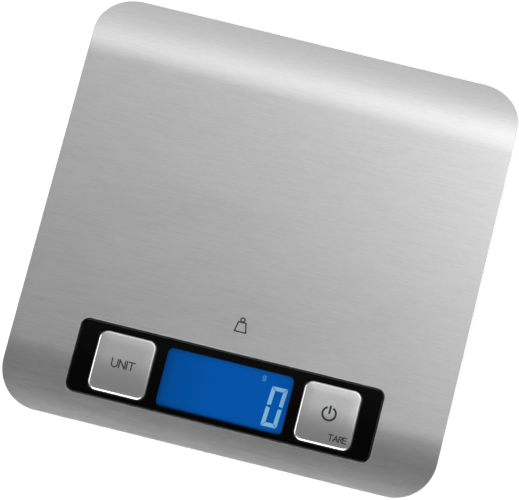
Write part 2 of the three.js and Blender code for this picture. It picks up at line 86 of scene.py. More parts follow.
def soft_box(name, azimuth, elevation, width, height, watts):
    lamp = bpy.data.lights.new(name, "AREA")
    lamp.shape = "RECTANGLE"
    lamp.size = width
    lamp.size_y = height
    lamp.energy = watts
    box = bpy.data.objects.new(name, lamp)
    across, up = math.radians(azimuth), math.radians(elevation)
    out = Vector((-math.sin(across) * math.cos(up), math.cos(across) * math.cos(up), math.sin(up)))
    box.location = middle + out * BOX_DISTANCE
    box.rotation_euler = out.to_track_quat("Z", "Y").to_euler()
    scene.collection.objects.link(box)


for name, settings in SOFT_BOXES.items():
    soft_box(name, *settings)

world = bpy.data.worlds.new("room")
world.use_nodes = True
world.node_tree.nodes["Background"].inputs["Color"].default_value = (1, 1, 1, 1)
world.node_tree.nodes["Background"].inputs["Strength"].default_value = SKY
scene.world = world
scene.view_settings.view_transform = "Standard"

CAMERA_PLACE = Vector((0.0770, -0.4999, 1.7710))
CAMERA_AIM = Vector((-0.0010, -0.0028, 0.0160))
CAMERA_ROLL = math.radians(5.16)
CAMERA_LENS = 253.6  # in millimetres, for a film 36 wide
CAMERA_FILM = 36

camera = bpy.data.cameras.new("camera")
camera.lens = CAMERA_LENS
camera.sensor_width = CAMERA_FILM
viewer = bpy.data.objects.new("camera", camera)
scene.collection.objects.link(viewer)
turn = (CAMERA_AIM - CAMERA_PLACE).to_track_quat("-Z", "Y") @ Quaternion((0, 0, 1), CAMERA_ROLL)
viewer.matrix_world = Matrix.Translation(CAMERA_PLACE) @ turn.to_matrix().to_4x4()
scene.camera = viewer


class Wire:
    """A shader socket that takes part in sums: 1 - wire adds the Math node for it."""

    def __init__(self, paint, socket):
        self.paint = paint
        self.socket = socket

    def __add__(self, other):
        return self.paint.maths("ADD", self, other)

    def __sub__(self, other):
        return self.paint.maths("SUBTRACT", self, other)

    def __rsub__(self, other):
        return self.paint.maths("SUBTRACT", other, self)

    def __mul__(self, other):
        return self.paint.maths("MULTIPLY", self, other)

    __radd__ = __add__
    __rmul__ = __mul__


class Paint:
    """One finish: a material on the Principled shader, whose other nodes are added by plain calls."""

    def __init__(self, name, roughness=0.5, metallic=0.0, **constants):
        self.material = bpy.data.materials.new(name)
        self.material.use_nodes = True
        self.nodes = self.material.node_tree.nodes
        self.shader = self.nodes["Principled BSDF"]
        self.give("Roughness", roughness)
        self.give("Metallic", metallic)
        for socket, value in constants.items():
            self.give(socket.replace("_", " "), value)

    def plug(self, socket, value):
        if isinstance(value, Wire):
            self.material.node_tree.links.new(value.socket, socket)
        elif hasattr(value, "__len__") and len(value) == 3 and len(socket.default_value) == 4:
            socket.default_value = (*value, 1)
        else:
            socket.default_value = value

    def give(self, socket, value):
        self.plug(self.shader.inputs[socket], value)

    def node(self, kind, sockets, output=0, **settings):
        node = self.nodes.new(kind)
        for key, value in settings.items():
            setattr(node, key, value)
        for key, value in sockets.items():
            self.plug(node.inputs[key], value)
        return Wire(self, node.outputs[output])

    def maths(self, operation, *values):
        return self.node("ShaderNodeMath", dict(enumerate(values)), operation=operation)

    def mix(self, share, first, second):
        return self.node("ShaderNodeMix", {0: share, 6: first, 7: second}, output=2, data_type="RGBA")

    def here(self, axis=None):
        """Where on the piece a point is, in metres, or only its coordinate on one axis."""
        spot = self.node("ShaderNodeTexCoord", {}, output=3)
        return spot if axis is None else self.node("ShaderNodeSeparateXYZ", {0: spot}, output=axis)

    def pattern(self, kind, scale, location=(0, 0, 0), sockets=None, **settings):
        """A texture whose cells repeat scale times a metre along each axis."""
        mapping = {"Vector": self.here(), "Scale": scale, "Location": location}
        spot = self.node("ShaderNodeMapping", mapping)
        return self.node(kind, {"Vector": spot, "Scale": 1.0, **(sockets or {})}, **settings)

    def noise(self, scale, detail=2.0, roughness=0.5, location=(0, 0, 0)):
        """A pattern of cloudy values about 0.5."""
        sockets = {"Detail": detail, "Roughness": roughness}
        return self.pattern("ShaderNodeTexNoise", scale, location, sockets)

    def steps(self, value, *stops):
        """Shades that follow a value: each stop is its place and a grey or a colour."""
        wire = self.node("ShaderNodeValToRGB", {0: value})
        elements = wire.socket.node.color_ramp.elements
        elements[0].position, elements[1].position = stops[0][0], stops[-1][0]
        for place, shade in stops[1:-1]:
            elements.new(place)
        for element, (place, shade) in zip(elements, stops):
            element.color = (*(shade if hasattr(shade, "__len__") else (shade,) * 3), 1)
        return wire

    def bump(self, height, distance, strength=1.0):
        sockets = {"Height": height, "Distance": distance, "Strength": strength}
        self.give("Normal", self.node("ShaderNodeBump", sockets))


def mottled(name, cells, dark, light, detail=2.0, harsh=0.5, uneven=0.0, relief=None, **settings):
    """A finish of two shades in a cloud of cells, so many to a metre along each axis.

    The cloud also makes the roughness uneven, and raises a relief of (distance, strength).
    """
    paint = Paint(name, **settings)
    cloud = paint.noise(cells if isinstance(cells, tuple) else (cells,) * 3, detail=detail, roughness=harsh)
    paint.give("Base Color", paint.mix(cloud, dark, light))
    if uneven:
        paint.give("Roughness", (cloud - 0.5) * uneven + settings["roughness"])
    if relief:
        paint.bump(cloud, relief[0], strength=relief[1])
    return paint.material


def settled(made, body, slot, replaces=()):
    """The made object as a piece that rides on a body and stands for CAD nodes."""
    for face in made.data.polygons:
        face.use_smooth = True
    made.data.set_sharp_from_angle(angle=math.radians(38))
    flatter = made.modifiers.new("even_flats", "WEIGHTED_NORMAL")
    flatter.keep_sharp = True
    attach(made, body)
    if replaces:
        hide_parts(*replaces)
    return made


def linked(name, bm, *materials):
    """An object in the scene from a mesh under construction."""
    mesh = bpy.data.meshes.new(name)
    bm.to_mesh(mesh)
    bm.free()
    for material in materials:
        mesh.materials.append(material)
    made = bpy.data.objects.new(name, mesh)
    scene.collection.objects.link(made)
    return made


def finished(name, bm, materials, body, slot, replaces=()):
    """A piece from a mesh under construction, in one material or a list of them."""
    if not isinstance(materials, list):
        materials = [materials]
    return settled(linked(name, bm, *materials), body, slot, replaces)


table_white = mottled(
    "table_white", 3, (0.93,) * 3, (0.96,) * 3, roughness=0.6,
    Emission_Color=(1, 1, 1), Emission_Strength=TABLE_GLOW,
)
table_top = bmesh.new()
bmesh.ops.create_grid(table_top, x_segments=1, y_segments=1, size=TABLE_HALF)
linked("table", table_top, table_white)

# ---- The weighing plate --------------------------------------------------------------------------
# A 0.8 mm sheet of stainless steel, brushed from side to side, blanked with a round-cornered window
# and rolled down along its front and back edges. It is bonded to the housing under it.

plate_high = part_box("platform_plate")[1]
PLATE_HALF = plate_high.x
PLATE_TOP = plate_high.z
PLATE_CORNER = 21 * MM
PLATE_THICKNESS = 0.8 * MM
ROLL_WIDTH = 35 * MM
ROLL_DROP = 6 * MM
FLAT_HALF = PLATE_HALF - ROLL_WIDTH
ROLL_RADIUS = (ROLL_WIDTH**2 + ROLL_DROP**2) / (2 * ROLL_DROP)
ROLL_STRIP = 1.75 * MM  # the width of the flat strips that make the rolled edges
CORNER_STEPS = 14
WINDOW_CORNER = 4.6 * MM
WINDOW_CLEARANCE = 0.2 * MM
STEEP = 0.3  # a face is part of the sheet's side if its normal rises less than this


def height_at(y, depth):
    """The height of the layer that lies a depth under the plate's surface."""
    past = max(0.0, abs(y) - FLAT_HALF)
    radius = ROLL_RADIUS - depth
    return PLATE_TOP - ROLL_RADIUS + math.sqrt(radius**2 - past**2)


class Outline:
    """A rectangle with round corners, which can be made again a little larger or smaller."""

    def __init__(self, x0, x1, y0, y1, corner):
        self.sides = (x0, x1, y0, y1)
        self.corner = corner

    def inset(self, by):
        x0, x1, y0, y1 = self.sides
        return Outline(x0 + by, x1 - by, y0 + by, y1 - by, self.corner - by)

    def points(self):
        x0, x1, y0, y1 = self.sides
        r = max(self.corner, 0.05 * MM)
        centres = ((x1 - r, y1 - r), (x0 + r, y1 - r), (x0 + r, y0 + r), (x1 - r, y0 + r))
        for quarter, (cx, cy) in enumerate(centres):
            for step in range(CORNER_STEPS + 1):
                angle = math.pi / 2 * (quarter + step / CORNER_STEPS)
                yield cx + r * math.cos(angle), cy + r * math.sin(angle)


def round_edge(radius, thickness, support=0.3 * MM, steps=4):
    """An edge profile of (inset, depth) steps: a flat margin, a rounded arris, the side and the back."""
    front = [(radius + support, 0.0)]
    for step in range(steps + 1):
        angle = math.pi / 2 * step / steps
        front.append((radius * (1 - math.sin(angle)), radius * (1 - math.cos(angle))))
    return front + [(inset, thickness - depth) for inset, depth in reversed(front)]


def slab(outline, edge, holes=(), top=0.0):
    """A flat closed sheet with z as minus its depth. Each hole is an (outline, edge profile) pair."""
    bm = bmesh.new()
    faces_from, backs_from = [], []
    for shape, profile, side in [(outline, edge, 1)] + [(hole, rim, -1) for hole, rim in holes]:
        rings = []
        for inset, depth in profile:
            points = shape.inset(side * inset).points()
            rings.append([bm.verts.new((x, y, -top - depth)) for x, y in points])
        for upper, lower in zip(rings, rings[1:]):
            for k in range(len(upper)):
                after = (k + 1) % len(upper)
                bm.faces.new((upper[k], lower[k], lower[after], upper[after]))
        for ring, loops in ((rings[0], faces_from), (rings[-1], backs_from)):
            loops += [bm.edges.get((ring[k - 1], ring[k])) for k in range(len(ring))]
    for loops in (faces_from, backs_from):
        bmesh.ops.triangle_fill(bm, use_beauty=True, edges=loops)
    bmesh.ops.recalc_face_normals(bm, faces=bm.faces)
    return bm


def roll(bm):
    """Cuts a flat sheet into strips where the plate is rolled, and bends it to the plate's profile."""
    strips = int(ROLL_WIDTH / ROLL_STRIP)
    for k in range(-1, strips + 1):
        for side in (-1, 1):
            line = (0, side * (FLAT_HALF + k * ROLL_STRIP), 0)
            everything = bm.verts[:] + bm.edges[:] + bm.faces[:]
            bmesh.ops.bisect_plane(bm, geom=everything, dist=1e-6, plane_co=line, plane_no=(0, 1, 0))
    for vertex in bm.verts:
        vertex.co.z = height_at(vertex.co.y, -vertex.co.z)
    return bm


def brushed_steel(name, shade, grain, roughness, depth=1.0):
    """Stainless steel with fine scratches along X. The grain is how many lie in a metre."""
    paint = Paint(name, metallic=1.0)
    long_streaks = paint.noise((55, grain * 0.35, 55), detail=3.0, roughness=0.6)
    fine_streaks = paint.noise((290, grain * 0.8, 290), detail=2.0, roughness=0.65, location=(3.1, 1.7, 0.4))
    clouds = paint.noise((9, 30, 9), detail=3.0, location=(7.3, 2.9, 1.1))
    streaks = long_streaks * 0.5 + fine_streaks * 0.5
    dark = tuple(c * (1 - 0.07 * depth) for c in shade)
    light = tuple(c * (1 + 0.05 * depth) for c in shade)
    paint.give("Base Color", paint.steps(streaks, (0.36, dark), (0.5, shade), (0.64, light)))
    paint.give("Roughness", (streaks - 0.5) * (0.2 * depth) + (clouds - 0.5) * 0.08 + roughness)
    paint.bump(streaks, 0.008 * MM, strength=0.4 * depth)
    return paint.material


def outline_round(node, clearance, corner):
    """The outline of the opening that a CAD piece fills with a clearance all round."""
    low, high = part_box(node)
    return Outline(low.x, high.x, low.y, high.y, corner - clearance).inset(-clearance)


WINDOW = outline_round("control_fascia", WINDOW_CLEARANCE, WINDOW_CORNER)


def mark_cut_edge(blank):
    """Gives the sheet's second material, near-black steel as painted shade, to its side all round the
    window.
    """
    blank.normal_update()
    x0, x1, y0, y1 = WINDOW.inset(-0.1 * MM).sides
    for face in blank.faces:
        spot = face.calc_center_median()
        in_window = x0 < spot.x < x1 and y0 < spot.y < y1
        if in_window and abs(face.normal.z) < STEEP:
            face.material_index = 1


blank = slab(
    Outline(-PLATE_HALF, PLATE_HALF, -PLATE_HALF, PLATE_HALF, PLATE_CORNER),
    round_edge(0.22 * MM, PLATE_THICKNESS),
    holes=[(WINDOW, round_edge(0.15 * MM, PLATE_THICKNESS, support=0.2 * MM))],
)
roll(blank)
mark_cut_edge(blank)
plate_surface = BVHTree.FromBMesh(blank)
plate_steel = brushed_steel("plate_steel", (0.60, 0.60, 0.605), 3600, 0.34)
# Near-black steel for the window's cut edge: painted shade on the side of the cut.
shaded_cut_edge = mottled("shaded_cut_edge", (900, 900, 5000), (0.03,) * 3, (0.09,) * 3, metallic=1.0, roughness=0.5)
finished(
    "weighing_plate", blank, [plate_steel, shaded_cut_edge], "platform", "steel_plate", ["platform_plate"]
)

# ---- The control fascia --------------------------------------------------------------------------
# A polished black moulding that fills the plate's window. A low rim stands round its sunk field,
# which has two square holes for the keys and one for the display.

FASCIA_BACK = 2.4 * MM
FASCIA_RIM = 0.15 * MM
FASCIA_FIELD = 0.95 * MM
RIM_WIDTH = 0.75 * MM
RIM_BEAD = Vector((0.34, 0.3)) * MM  # the rim's rounded top: half its width, and its depth
RIM_FOOT = -0.6 * MM  # what stands higher than this in the flat moulding is its rim
KEY_CORNER = 3 * MM
KEY_CLEARANCE = 0.25 * MM
DISPLAY_CORNER = 2.5 * MM
DISPLAY_CLEARANCE = 0.15 * MM
DISPLAY = outline_round("display_window", DISPLAY_CLEARANCE, DISPLAY_CORNER)

cap_low, cap_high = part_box("tare_key_cap")
KEY_CENTRE = (cap_low + cap_high).xy / 2
KEY_HALF = (cap_high - cap_low).xy / 2


def key_outline(side, corner):
    x, y = side * KEY_CENTRE.x, KEY_CENTRE.y
    return Outline(x - KEY_HALF.x, x + KEY_HALF.x, y - KEY_HALF.y, y + KEY_HALF.y, corner)


def rim_profile():
    """From the sunk field up over the rounded rim and down its outer side to the back."""
    yield RIM_WIDTH + 0.4 * MM, FASCIA_FIELD
    yield RIM_WIDTH + 0.12 * MM, FASCIA_FIELD
    yield RIM_WIDTH + 0.02 * MM, FASCIA_FIELD - 0.05 * MM
    yield RIM_WIDTH, FASCIA_FIELD - 0.15 * MM
    for step in range(9):
        angle = math.pi * step / 8
        outwards = RIM_WIDTH / 2 + RIM_BEAD.x * math.cos(angle)
        yield outwards, FASCIA_RIM + RIM_BEAD.y * (1 - math.sin(angle))
    yield 0.0, FASCIA_RIM + RIM_BEAD.y + 0.1 * MM
    yield 0.0, FASCIA_BACK
    yield 0.3 * MM, FASCIA_BACK


hole_edge = [
    (inset, FASCIA_FIELD + depth)
    for inset, depth in round_edge(0.12 * MM, FASCIA_BACK - FASCIA_FIELD, support=0.2 * MM, steps=3)
]
openings = [key_outline(side, KEY_CORNER).inset(-KEY_CLEARANCE) for side in (-1, 1)] + [DISPLAY]
fascia = slab(
    WINDOW.inset(WINDOW_CLEARANCE), list(rim_profile()), holes=[(opening, hole_edge) for opening in openings]
)
for face in fascia.faces:
    if face.calc_center_median().z > RIM_FOOT:
        face.material_index = 1


def gloss_black(name, shine):
    """Polished black plastic with faint smears."""
    gloss = Paint(name, roughness=0.12, IOR=1.38, Specular_IOR_Level=shine)
    smears = gloss.noise((60, 25, 60), detail=3.0)
    gloss.give("Base Color", gloss.mix(smears, (0.0003, 0.0003, 0.0004), (0.0006, 0.0006, 0.0007)))
    gloss.give("Roughness", smears * 0.08 + 0.08)
    return gloss.material


# The rim is the shinier of the two: its rounded top shows as a fine grey line.
panel_finishes = [gloss_black("gloss_black", 0.2), gloss_black("gloss_rim", 0.55)]
finished("fascia", roll(fascia), panel_finishes, "platform", "gloss_black", ["control_fascia"])

# ---- The two keys --------------------------------------------------------------------------------
# Square steel tiles with bevelled edges and a slightly crowned face, glued to plastic carriers.
# Their legends are thin dark prints: UNIT, and a standby sign with TARE in its corner.

KEY_TOP = 0.1 * MM
KEY_BACK = 1.6 * MM
EDGE_RADIUS = 1.4 * MM
CROWN_WIDTH = 6.5 * MM
CROWN_DEPTH = 0.2 * MM
TILE_CORNER = 4.5 * MM
PRINT_PROUD = 0.025 * MM
STROKE_STEP = 0.35 * MM
STROKE_END = 0.4  # how far a stroke runs past its end points, as a share of its width
STANDBY_GAP = 32  # degrees left open on each side of the standby sign's bar
# A word's text, left end, foot, height, length and stroke; the standby sign's centre, radius, stroke.
UNIT_WORD = ("UNIT", -57.5 * MM, -80.1 * MM, 4.0 * MM, 11.4 * MM, 0.72 * MM)
TARE_WORD = ("TARE", 54.9 * MM, -90.0 * MM, 2.8 * MM, 9.0 * MM, 0.6 * MM)
STANDBY = (52.5 * MM, -77.3 * MM, 3.3 * MM, 1.12 * MM)


def key_edge():
    """A slightly domed margin, then a quarter round down to the tile's back."""
    profile = []
    for step in range(8):
        inset = CROWN_WIDTH - (CROWN_WIDTH - EDGE_RADIUS) * step / 7
        profile.append((inset, CROWN_DEPTH * (1 - inset / CROWN_WIDTH) ** 2))
    start = profile[-1][1]
    drop = KEY_BACK - KEY_TOP - start
    for step in range(1, 13):
        angle = math.pi / 2 * step / 12
        profile.append((EDGE_RADIUS * (1 - math.sin(angle)), start + drop * (1 - math.cos(angle))))
    return profile + [(0.5 * MM, KEY_BACK - KEY_TOP)]


def smooth_runs(points):
    """Cuts a line of points at its sharp corners, and each run into short steps."""
    run = [points[0]]
    for before, here in zip(points, points[1:]):
        if math.dist(before, here) < 0.01 * MM:
            continue
        if len(run) > 1:
            along = Vector(here) - Vector(before)
            came = Vector(before) - Vector(run[-2])
            if along.angle(came) > math.radians(40):
                yield run
                run = [before]
        steps = max(1, math.ceil(math.dist(before, here) / STROKE_STEP))
        run += [tuple(Vector(before).lerp(Vector(here), k / steps)) for k in range(1, steps + 1)]
    yield run


def print_on(name, strokes, surface, material, body, slot):
    """Printed strokes, each a (points, width) pair, laid on a surface as thin closed ribbons."""
    bm = bmesh.new()
    for points, width in strokes:
        for run in smooth_runs(points):
            line = bpy.data.curves.new(name, "CURVE")
            line.dimensions = "3D"
            line.bevel_depth = width / 2
            line.bevel_resolution = 2
            line.use_fill_caps = True
            first, last = Vector(run[0]), Vector(run[-1])
            run[0] = tuple(first - (Vector(run[1]) - first).normalized() * width * STROKE_END)
            run[-1] = tuple(last + (last - Vector(run[-2])).normalized() * width * STROKE_END)
            spline = line.splines.new("POLY")
            spline.points.add(len(run) - 1)
            for point, (x, y) in zip(spline.points, run):
                point.co = (x, y, 0, 1)
            stroke = bpy.data.objects.new(name, line)
            bm.from_mesh(stroke.to_mesh())
            stroke.to_mesh_clear()
            bpy.data.objects.remove(stroke)
            bpy.data.curves.remove(line)
    for vertex in bm.verts:
        above = Vector((vertex.co.x, vertex.co.y, 1.0))
        ground = surface.ray_cast(above, Vector((0, 0, -1)))[0]
        vertex.co.z = ground.z + (PRINT_PROUD if vertex.co.z > 0 else -PRINT_PROUD)
    bmesh.ops.recalc_face_normals(bm, faces=bm.faces)
    return finished(name, bm, material, body, slot)


def arc(cx, cy, radius, start, stop, steps):
    """Points on an arc, with its angles in degrees."""
    for step in range(steps + 1):
        angle = math.radians(start + (stop - start) * step / steps)
        yield cx + radius * math.cos(angle), cy + radius * math.sin(angle)


# Plain one-line letters in a box 1 high: each is its width and its strokes.
LETTERS = {
    "U": (0.72, [[(0, 1), (0, 0.32), *arc(0.36, 0.34, 0.36, 190, 350, 10), (0.72, 0.32), (0.72, 1)]]),
    "N": (0.72, [[(0, 0), (0, 1), (0.72, 0), (0.72, 1)]]),
    "I": (0.0, [[(0, 0), (0, 1)]]),
    "T": (0.74, [[(0, 1), (0.74, 1)], [(0.37, 1), (0.37, 0)]]),
    "A": (0.80, [[(0, 0), (0.4, 1), (0.8, 0)], [(0.14, 0.34), (0.66, 0.34)]]),
    "R": (0.60, [[(0, 0), (0, 1), (0.34, 1), *arc(0.34, 0.75, 0.25, 90, -90, 8), (0, 0.5)],
                 [(0.3, 0.5), (0.62, 0)]]),
    "E": (0.56, [[(0.56, 1), (0, 1), (0, 0), (0.56, 0)], [(0, 0.52), (0.5, 0.52)]]),
}


def word(text, left, bottom, height, length, thickness):
    """A word's strokes, spaced to fill a length."""
    widths = [LETTERS[letter][0] * height for letter in text]
    space = (length - sum(widths)) / (len(text) - 1)
    strokes = []
    for letter, width in zip(text, widths):
        for line in LETTERS[letter][1]:
            strokes.append(([(left + x * height, bottom + y * height) for x, y in line], thickness))
        left += width + space
    return strokes


def standby_sign(x, y, radius, thickness):
    ring = list(arc(x, y, radius, 90 + STANDBY_GAP, 450 - STANDBY_GAP, 40))
    bar = [(x, y + radius * 0.1), (x, y + radius * 1.15)]
    return [(ring, thickness), (bar, thickness)]


key_steel = brushed_steel("key_steel", (0.70, 0.70, 0.705), 4200, 0.33, depth=0.35)
legend_ink = mottled("legend_ink", 2000, (0.010, 0.010, 0.011), (0.02,) * 3, roughness=0.55)
for side, key, strokes in (
    (-1, "unit", word(*UNIT_WORD)),
    (1, "tare", standby_sign(*STANDBY) + word(*TARE_WORD)),
):
    cap = roll(slab(key_outline(side, TILE_CORNER), key_edge(), top=KEY_TOP))
    cap_surface = BVHTree.FromBMesh(cap)
    body = key + "_key"
    finished(key + "_key_tile", cap, key_steel, body, "key_metal", [key + "_key_cap"])
    print_on(key + "_legend", strokes, cap_surface, legend_ink, body, "gloss_black")

# ---- The display ---------------------------------------------------------------------------------
# A blue backlit glass bonded under a clear cover. Its digits are seven slanted bars, of which the
# last place shows a nought, with a small g for grams above it.

LENS_BACK = 1.45 * MM
GLASS_TOP = 1.5 * MM
RESIN_THICKNESS = 1.4 * MM
DEEP_BLUE = (0.0, 0.093, 0.43)
EDGE_BLUE = (0.0, 0.030, 0.11)
PALE_BLUE = (0.24, 0.50, 0.73)
DIGIT_CORNER = Vector((20.9, -90.5)) * MM
DIGIT_SIZE = Vector((8.0, 20.35)) * MM
DIGIT_LEAN = 1.3 * MM
BAR = 2.0 * MM
BAR_GAP = 0.22 * MM
BAR_THICKNESS = 0.06 * MM
NOUGHT = ("top", "upper_left", "upper_right", "lower_left", "lower_right", "bottom")
PAINTED_SHADOW_START = 1.3 * MM  # a painted shadow of the fascia's hole edge: the glow darkens from here on towards the near edge, over the next length
PAINTED_SHADOW_LENGTH = 1.6 * MM


def pane(top, thickness):
    """A sheet that fills the display's opening."""
    return roll(slab(DISPLAY.inset(DISPLAY_CLEARANCE), round_edge(0.1 * MM, thickness), top=top))


clear = mottled(
    "clear_cover", 40, (0.01, 0.02, 0.03), (0.02, 0.03, 0.04), roughness=0.06, Alpha=0.06, IOR=1.4,
    Specular_IOR_Level=0.1,
)
lens = pane(FASCIA_FIELD, LENS_BACK - FASCIA_FIELD)
finished("display_cover", lens, clear, "platform", "clear_lens", ["display_window"])


def backlit(name, colour, edge):
    """Glowing glass that darkens towards the display's edges, with a painted shadow of the fascia's hole
    edge along its near edge.
    """
    paint = Paint(name, roughness=0.3, Specular_IOR_Level=0.0, Emission_Strength=1.0)
    across, along = paint.here(0), paint.here(1)
    x0, x1, y0, y1 = DISPLAY.sides
    to_side = paint.maths("ABSOLUTE", across * (2 / (x1 - x0)))
    to_end = paint.maths("ABSOLUTE", (along - (y0 + y1) / 2) * (2 / (y1 - y0)))
    fall = paint.maths("POWER", to_side, 12.0) * 0.45 + paint.maths("POWER", to_end, 10.0) * 0.4
    left = paint.maths("MAXIMUM", across * (-1 / (x1 - x0)) - 0.1, 0.0) * 0.8
    # A painted shadow of the fascia's hole edge: the glow darkens towards the near edge.
    foot = paint.maths("MAXIMUM", (along - (y0 + PAINTED_SHADOW_START)) * (-1 / PAINTED_SHADOW_LENGTH), 0.0)
    cloud = (paint.noise((50, 50, 50)) - 0.5) * 0.1
    paint.give("Emission Color", paint.mix(fall + left + foot + cloud, colour, edge))
    paint.give("Base Color", (0.0, 0.002, 0.006))
    return paint.material


glass = pane(GLASS_TOP, RESIN_THICKNESS)
glass_surface = BVHTree.FromBMesh(glass)
backlit_blue = backlit("backlit_blue", DEEP_BLUE, EDGE_BLUE)
finished("display_glass", glass, backlit_blue, "platform", "lcd_blue")


def bar_corners():
    """Each bar's corners in a digit's own upright rectangle, with mitred gaps between the bars."""
    w, h = DIGIT_SIZE
    t, g = BAR, BAR_GAP
    waist = h / 2
    yield "top", [(g, h), (w - g, h), (w - t - g, h - t), (t + g, h - t)]
    yield "bottom", [(g, 0), (t + g, t), (w - t - g, t), (w - g, 0)]
    for side, name in ((0, "left"), (1, "right")):
        upper = [(0, h - g), (t, h - t - g), (t, waist + t * 0.3 + g), (0, waist + g * 2)]
        lower = [(x, h - y) for x, y in upper]
        for place, corners in (("upper_", upper), ("lower_", lower)):
            yield place + name, [(w - x if side else x, y) for x, y in corners]


def bar_plate(bm, corners, top, thickness):
    """A thin flat plate between two depths on slanted corners."""
    rings = []
    for depth in (top, top + thickness):
        ring = []
        for x, y in corners:
            lean = DIGIT_LEAN * y / DIGIT_SIZE.y
            ring.append(bm.verts.new((DIGIT_CORNER.x + x + lean, DIGIT_CORNER.y + y, -depth)))
        rings.append(ring)
    bm.faces.new(rings[0])
    bm.faces.new(rings[1][::-1])
    for k in range(len(corners)):
        bm.faces.new((rings[0][k - 1], rings[0][k], rings[1][k], rings[1][k - 1]))


digit = bmesh.new()
for bar, corners in bar_corners():
    if bar in NOUGHT:
        bar_plate(digit, corners, GLASS_TOP - PRINT_PROUD, BAR_THICKNESS)
bmesh.ops.recalc_face_normals(digit, faces=digit.faces)
lit_bar = backlit("lit_bar", PALE_BLUE, DEEP_BLUE)
finished("display_nought", roll(digit), lit_bar, "platform", "lcd_blue")

GRAM_BOWL = Vector((17.3, -66.9)) * MM
GRAM_RADIUS = 0.72 * MM
GRAM_STROKE = 0.42 * MM
stem_x = GRAM_BOWL.x + GRAM_RADIUS
tail = [
    (stem_x, GRAM_BOWL.y + GRAM_RADIUS),
    (stem_x, GRAM_BOWL.y - GRAM_RADIUS * 1.4),
    *arc(GRAM_BOWL.x, GRAM_BOWL.y - GRAM_RADIUS * 1.5, GRAM_RADIUS, -10, -150, 8),
]
gram = [(list(arc(*GRAM_BOWL, GRAM_RADIUS, 0, 360, 16)), GRAM_STROKE), (tail, GRAM_STROKE)]
gram_glow = backlit("gram_glow", (0.11, 0.30, 0.58), DEEP_BLUE)
print_on("display_gram_sign", gram, glass_surface, gram_glow, "platform", "lcd_blue")

# ---- The printed sign on the plate ----------------------------------------------------------------
# A small dark print on the steel, just behind the middle of the panel: the outline of a weight with
# its ring, in the same ink as the keys' legends.

SIGN_FOOT = -47.8 * MM
SIGN_SHOULDER = -42.8 * MM
SIGN_FOOT_HALF = 2.9 * MM
SIGN_SHOULDER_HALF = SIGN_FOOT_HALF * 0.66
SIGN_STROKE = 0.75 * MM
SIGN_RING = 1.0 * MM
SIGN_RING_Y = SIGN_SHOULDER + SIGN_RING + 0.4 * SIGN_STROKE  # its stroke runs into the outline's

weight_outline = [
    (-SIGN_SHOULDER_HALF, SIGN_SHOULDER),
    (SIGN_SHOULDER_HALF, SIGN_SHOULDER),
    (SIGN_FOOT_HALF, SIGN_FOOT),
    (-SIGN_FOOT_HALF, SIGN_FOOT),
    (-SIGN_SHOULDER_HALF, SIGN_SHOULDER),
]
weight_ring = list(arc(0, SIGN_RING_Y, SIGN_RING, -90, 270, 20))
sign = [(weight_outline, SIGN_STROKE), (weight_ring, SIGN_STROKE)]
print_on("weight_sign", sign, plate_surface, legend_ink, "platform", "gloss_black")

# ---- The moulded pieces ---------------------------------------------------------------------------
# Injection-moulded black ABS with a fine spark-eroded texture: the two housings, the key carriers,
# the display's holder, the battery door and its latch. Their arrises are slightly rounded.


def copy_of(node):
    """A CAD node's shape with its corners joined and its flat faces whole."""
    bm = bmesh.new()
    bm.from_mesh(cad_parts[node].data)
    bmesh.ops.remove_doubles(bm, verts=bm.verts, dist=0.002 * MM)
    bmesh.ops.dissolve_limit(bm, angle_limit=math.radians(0.5), verts=bm.verts, edges=bm.edges)
    return bm


def softened(node, width, steps=2):
    """A CAD node's shape with its sharp arrises rounded."""
    bm = copy_of(node)
    arrises = [e for e in bm.edges if e.is_manifold and e.calc_face_angle() > math.radians(30)]
    bmesh.ops.bevel(
        bm, geom=arrises, offset=width, offset_type="OFFSET", segments=steps, profile=0.5,
        affect="EDGES", clamp_overlap=True,
    )
    bmesh.ops.recalc_face_normals(bm, faces=bm.faces)
    return bm


def eased(name, node, arris, material, body, slot):
    """A piece with a CAD node's shape and rounded arrises, which stands for the node."""
    return finished(name, softened(node, arris), material, body, slot, [node])


def moulded_black(name, grain, shade=0.012, roughness=0.5):
    """Black ABS, whose texture has grain cells in a metre."""
    paint = Paint(name, IOR=1.5, Specular_IOR_Level=0.4)
    sparks = paint.noise((grain, grain, grain), detail=3.0, roughness=0.7)
    flow = paint.noise((14, 20, 30), detail=2.0, location=(2.2, 5.1, 0.7))
    light = (shade * 1.15, shade * 1.15, shade * 1.2)
    paint.give("Base Color", paint.mix(flow, (shade * 0.8,) * 3, light))
    paint.give("Roughness", (sparks - 0.5) * 0.25 + (flow - 0.5) * 0.15 + roughness)
    paint.bump(sparks, 0.02 * MM, strength=0.6)
    return paint.material


HOUSING_GRAIN = 2600
CARRIER_GRAIN = 5000
abs_black = moulded_black("abs_black", HOUSING_GRAIN)
abs_fine = moulded_black("abs_fine", CARRIER_GRAIN, shade=0.010, roughness=0.4)

for node, arris, finish, body in (
    ("upper_housing", 0.25 * MM, abs_black, "platform"),
    ("base_tray", 0.2 * MM, abs_black, "base"),
    ("lcd_holder", 0.15 * MM, abs_fine, "platform"),
    ("unit_key_carrier", 0.12 * MM, abs_fine, "unit_key"),
    ("tare_key_carrier", 0.12 * MM, abs_fine, "tare_key"),
):
    eased(node + "_moulding", node, arris, finish, body, "black_abs")

# ---- The adhesive sheet --------------------------------------------------------------------------
# White closed-cell foam tape, die-cut to the plate's outline, which bonds the plate to its housing.


def refinish(node, material):
    """Gives a CAD node its own finish and leaves its shape."""
    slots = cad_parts[node].data.materials
    for k in range(len(slots)):
        slots[k] = material


foam = mottled(
    "foam_tape", 1500, (0.62, 0.62, 0.60), (0.76, 0.76, 0.73), detail=3.0, harsh=0.7,
    relief=(0.05 * MM, 0.7), roughness=0.9,
)
refinish("adhesive_sheet", foam)

# ---- The battery door and its latch --------------------------------------------------------------
# The door lies flush in the base, with moulded grip ribs before its latch, a springy loop that
# catches over the base's floor.


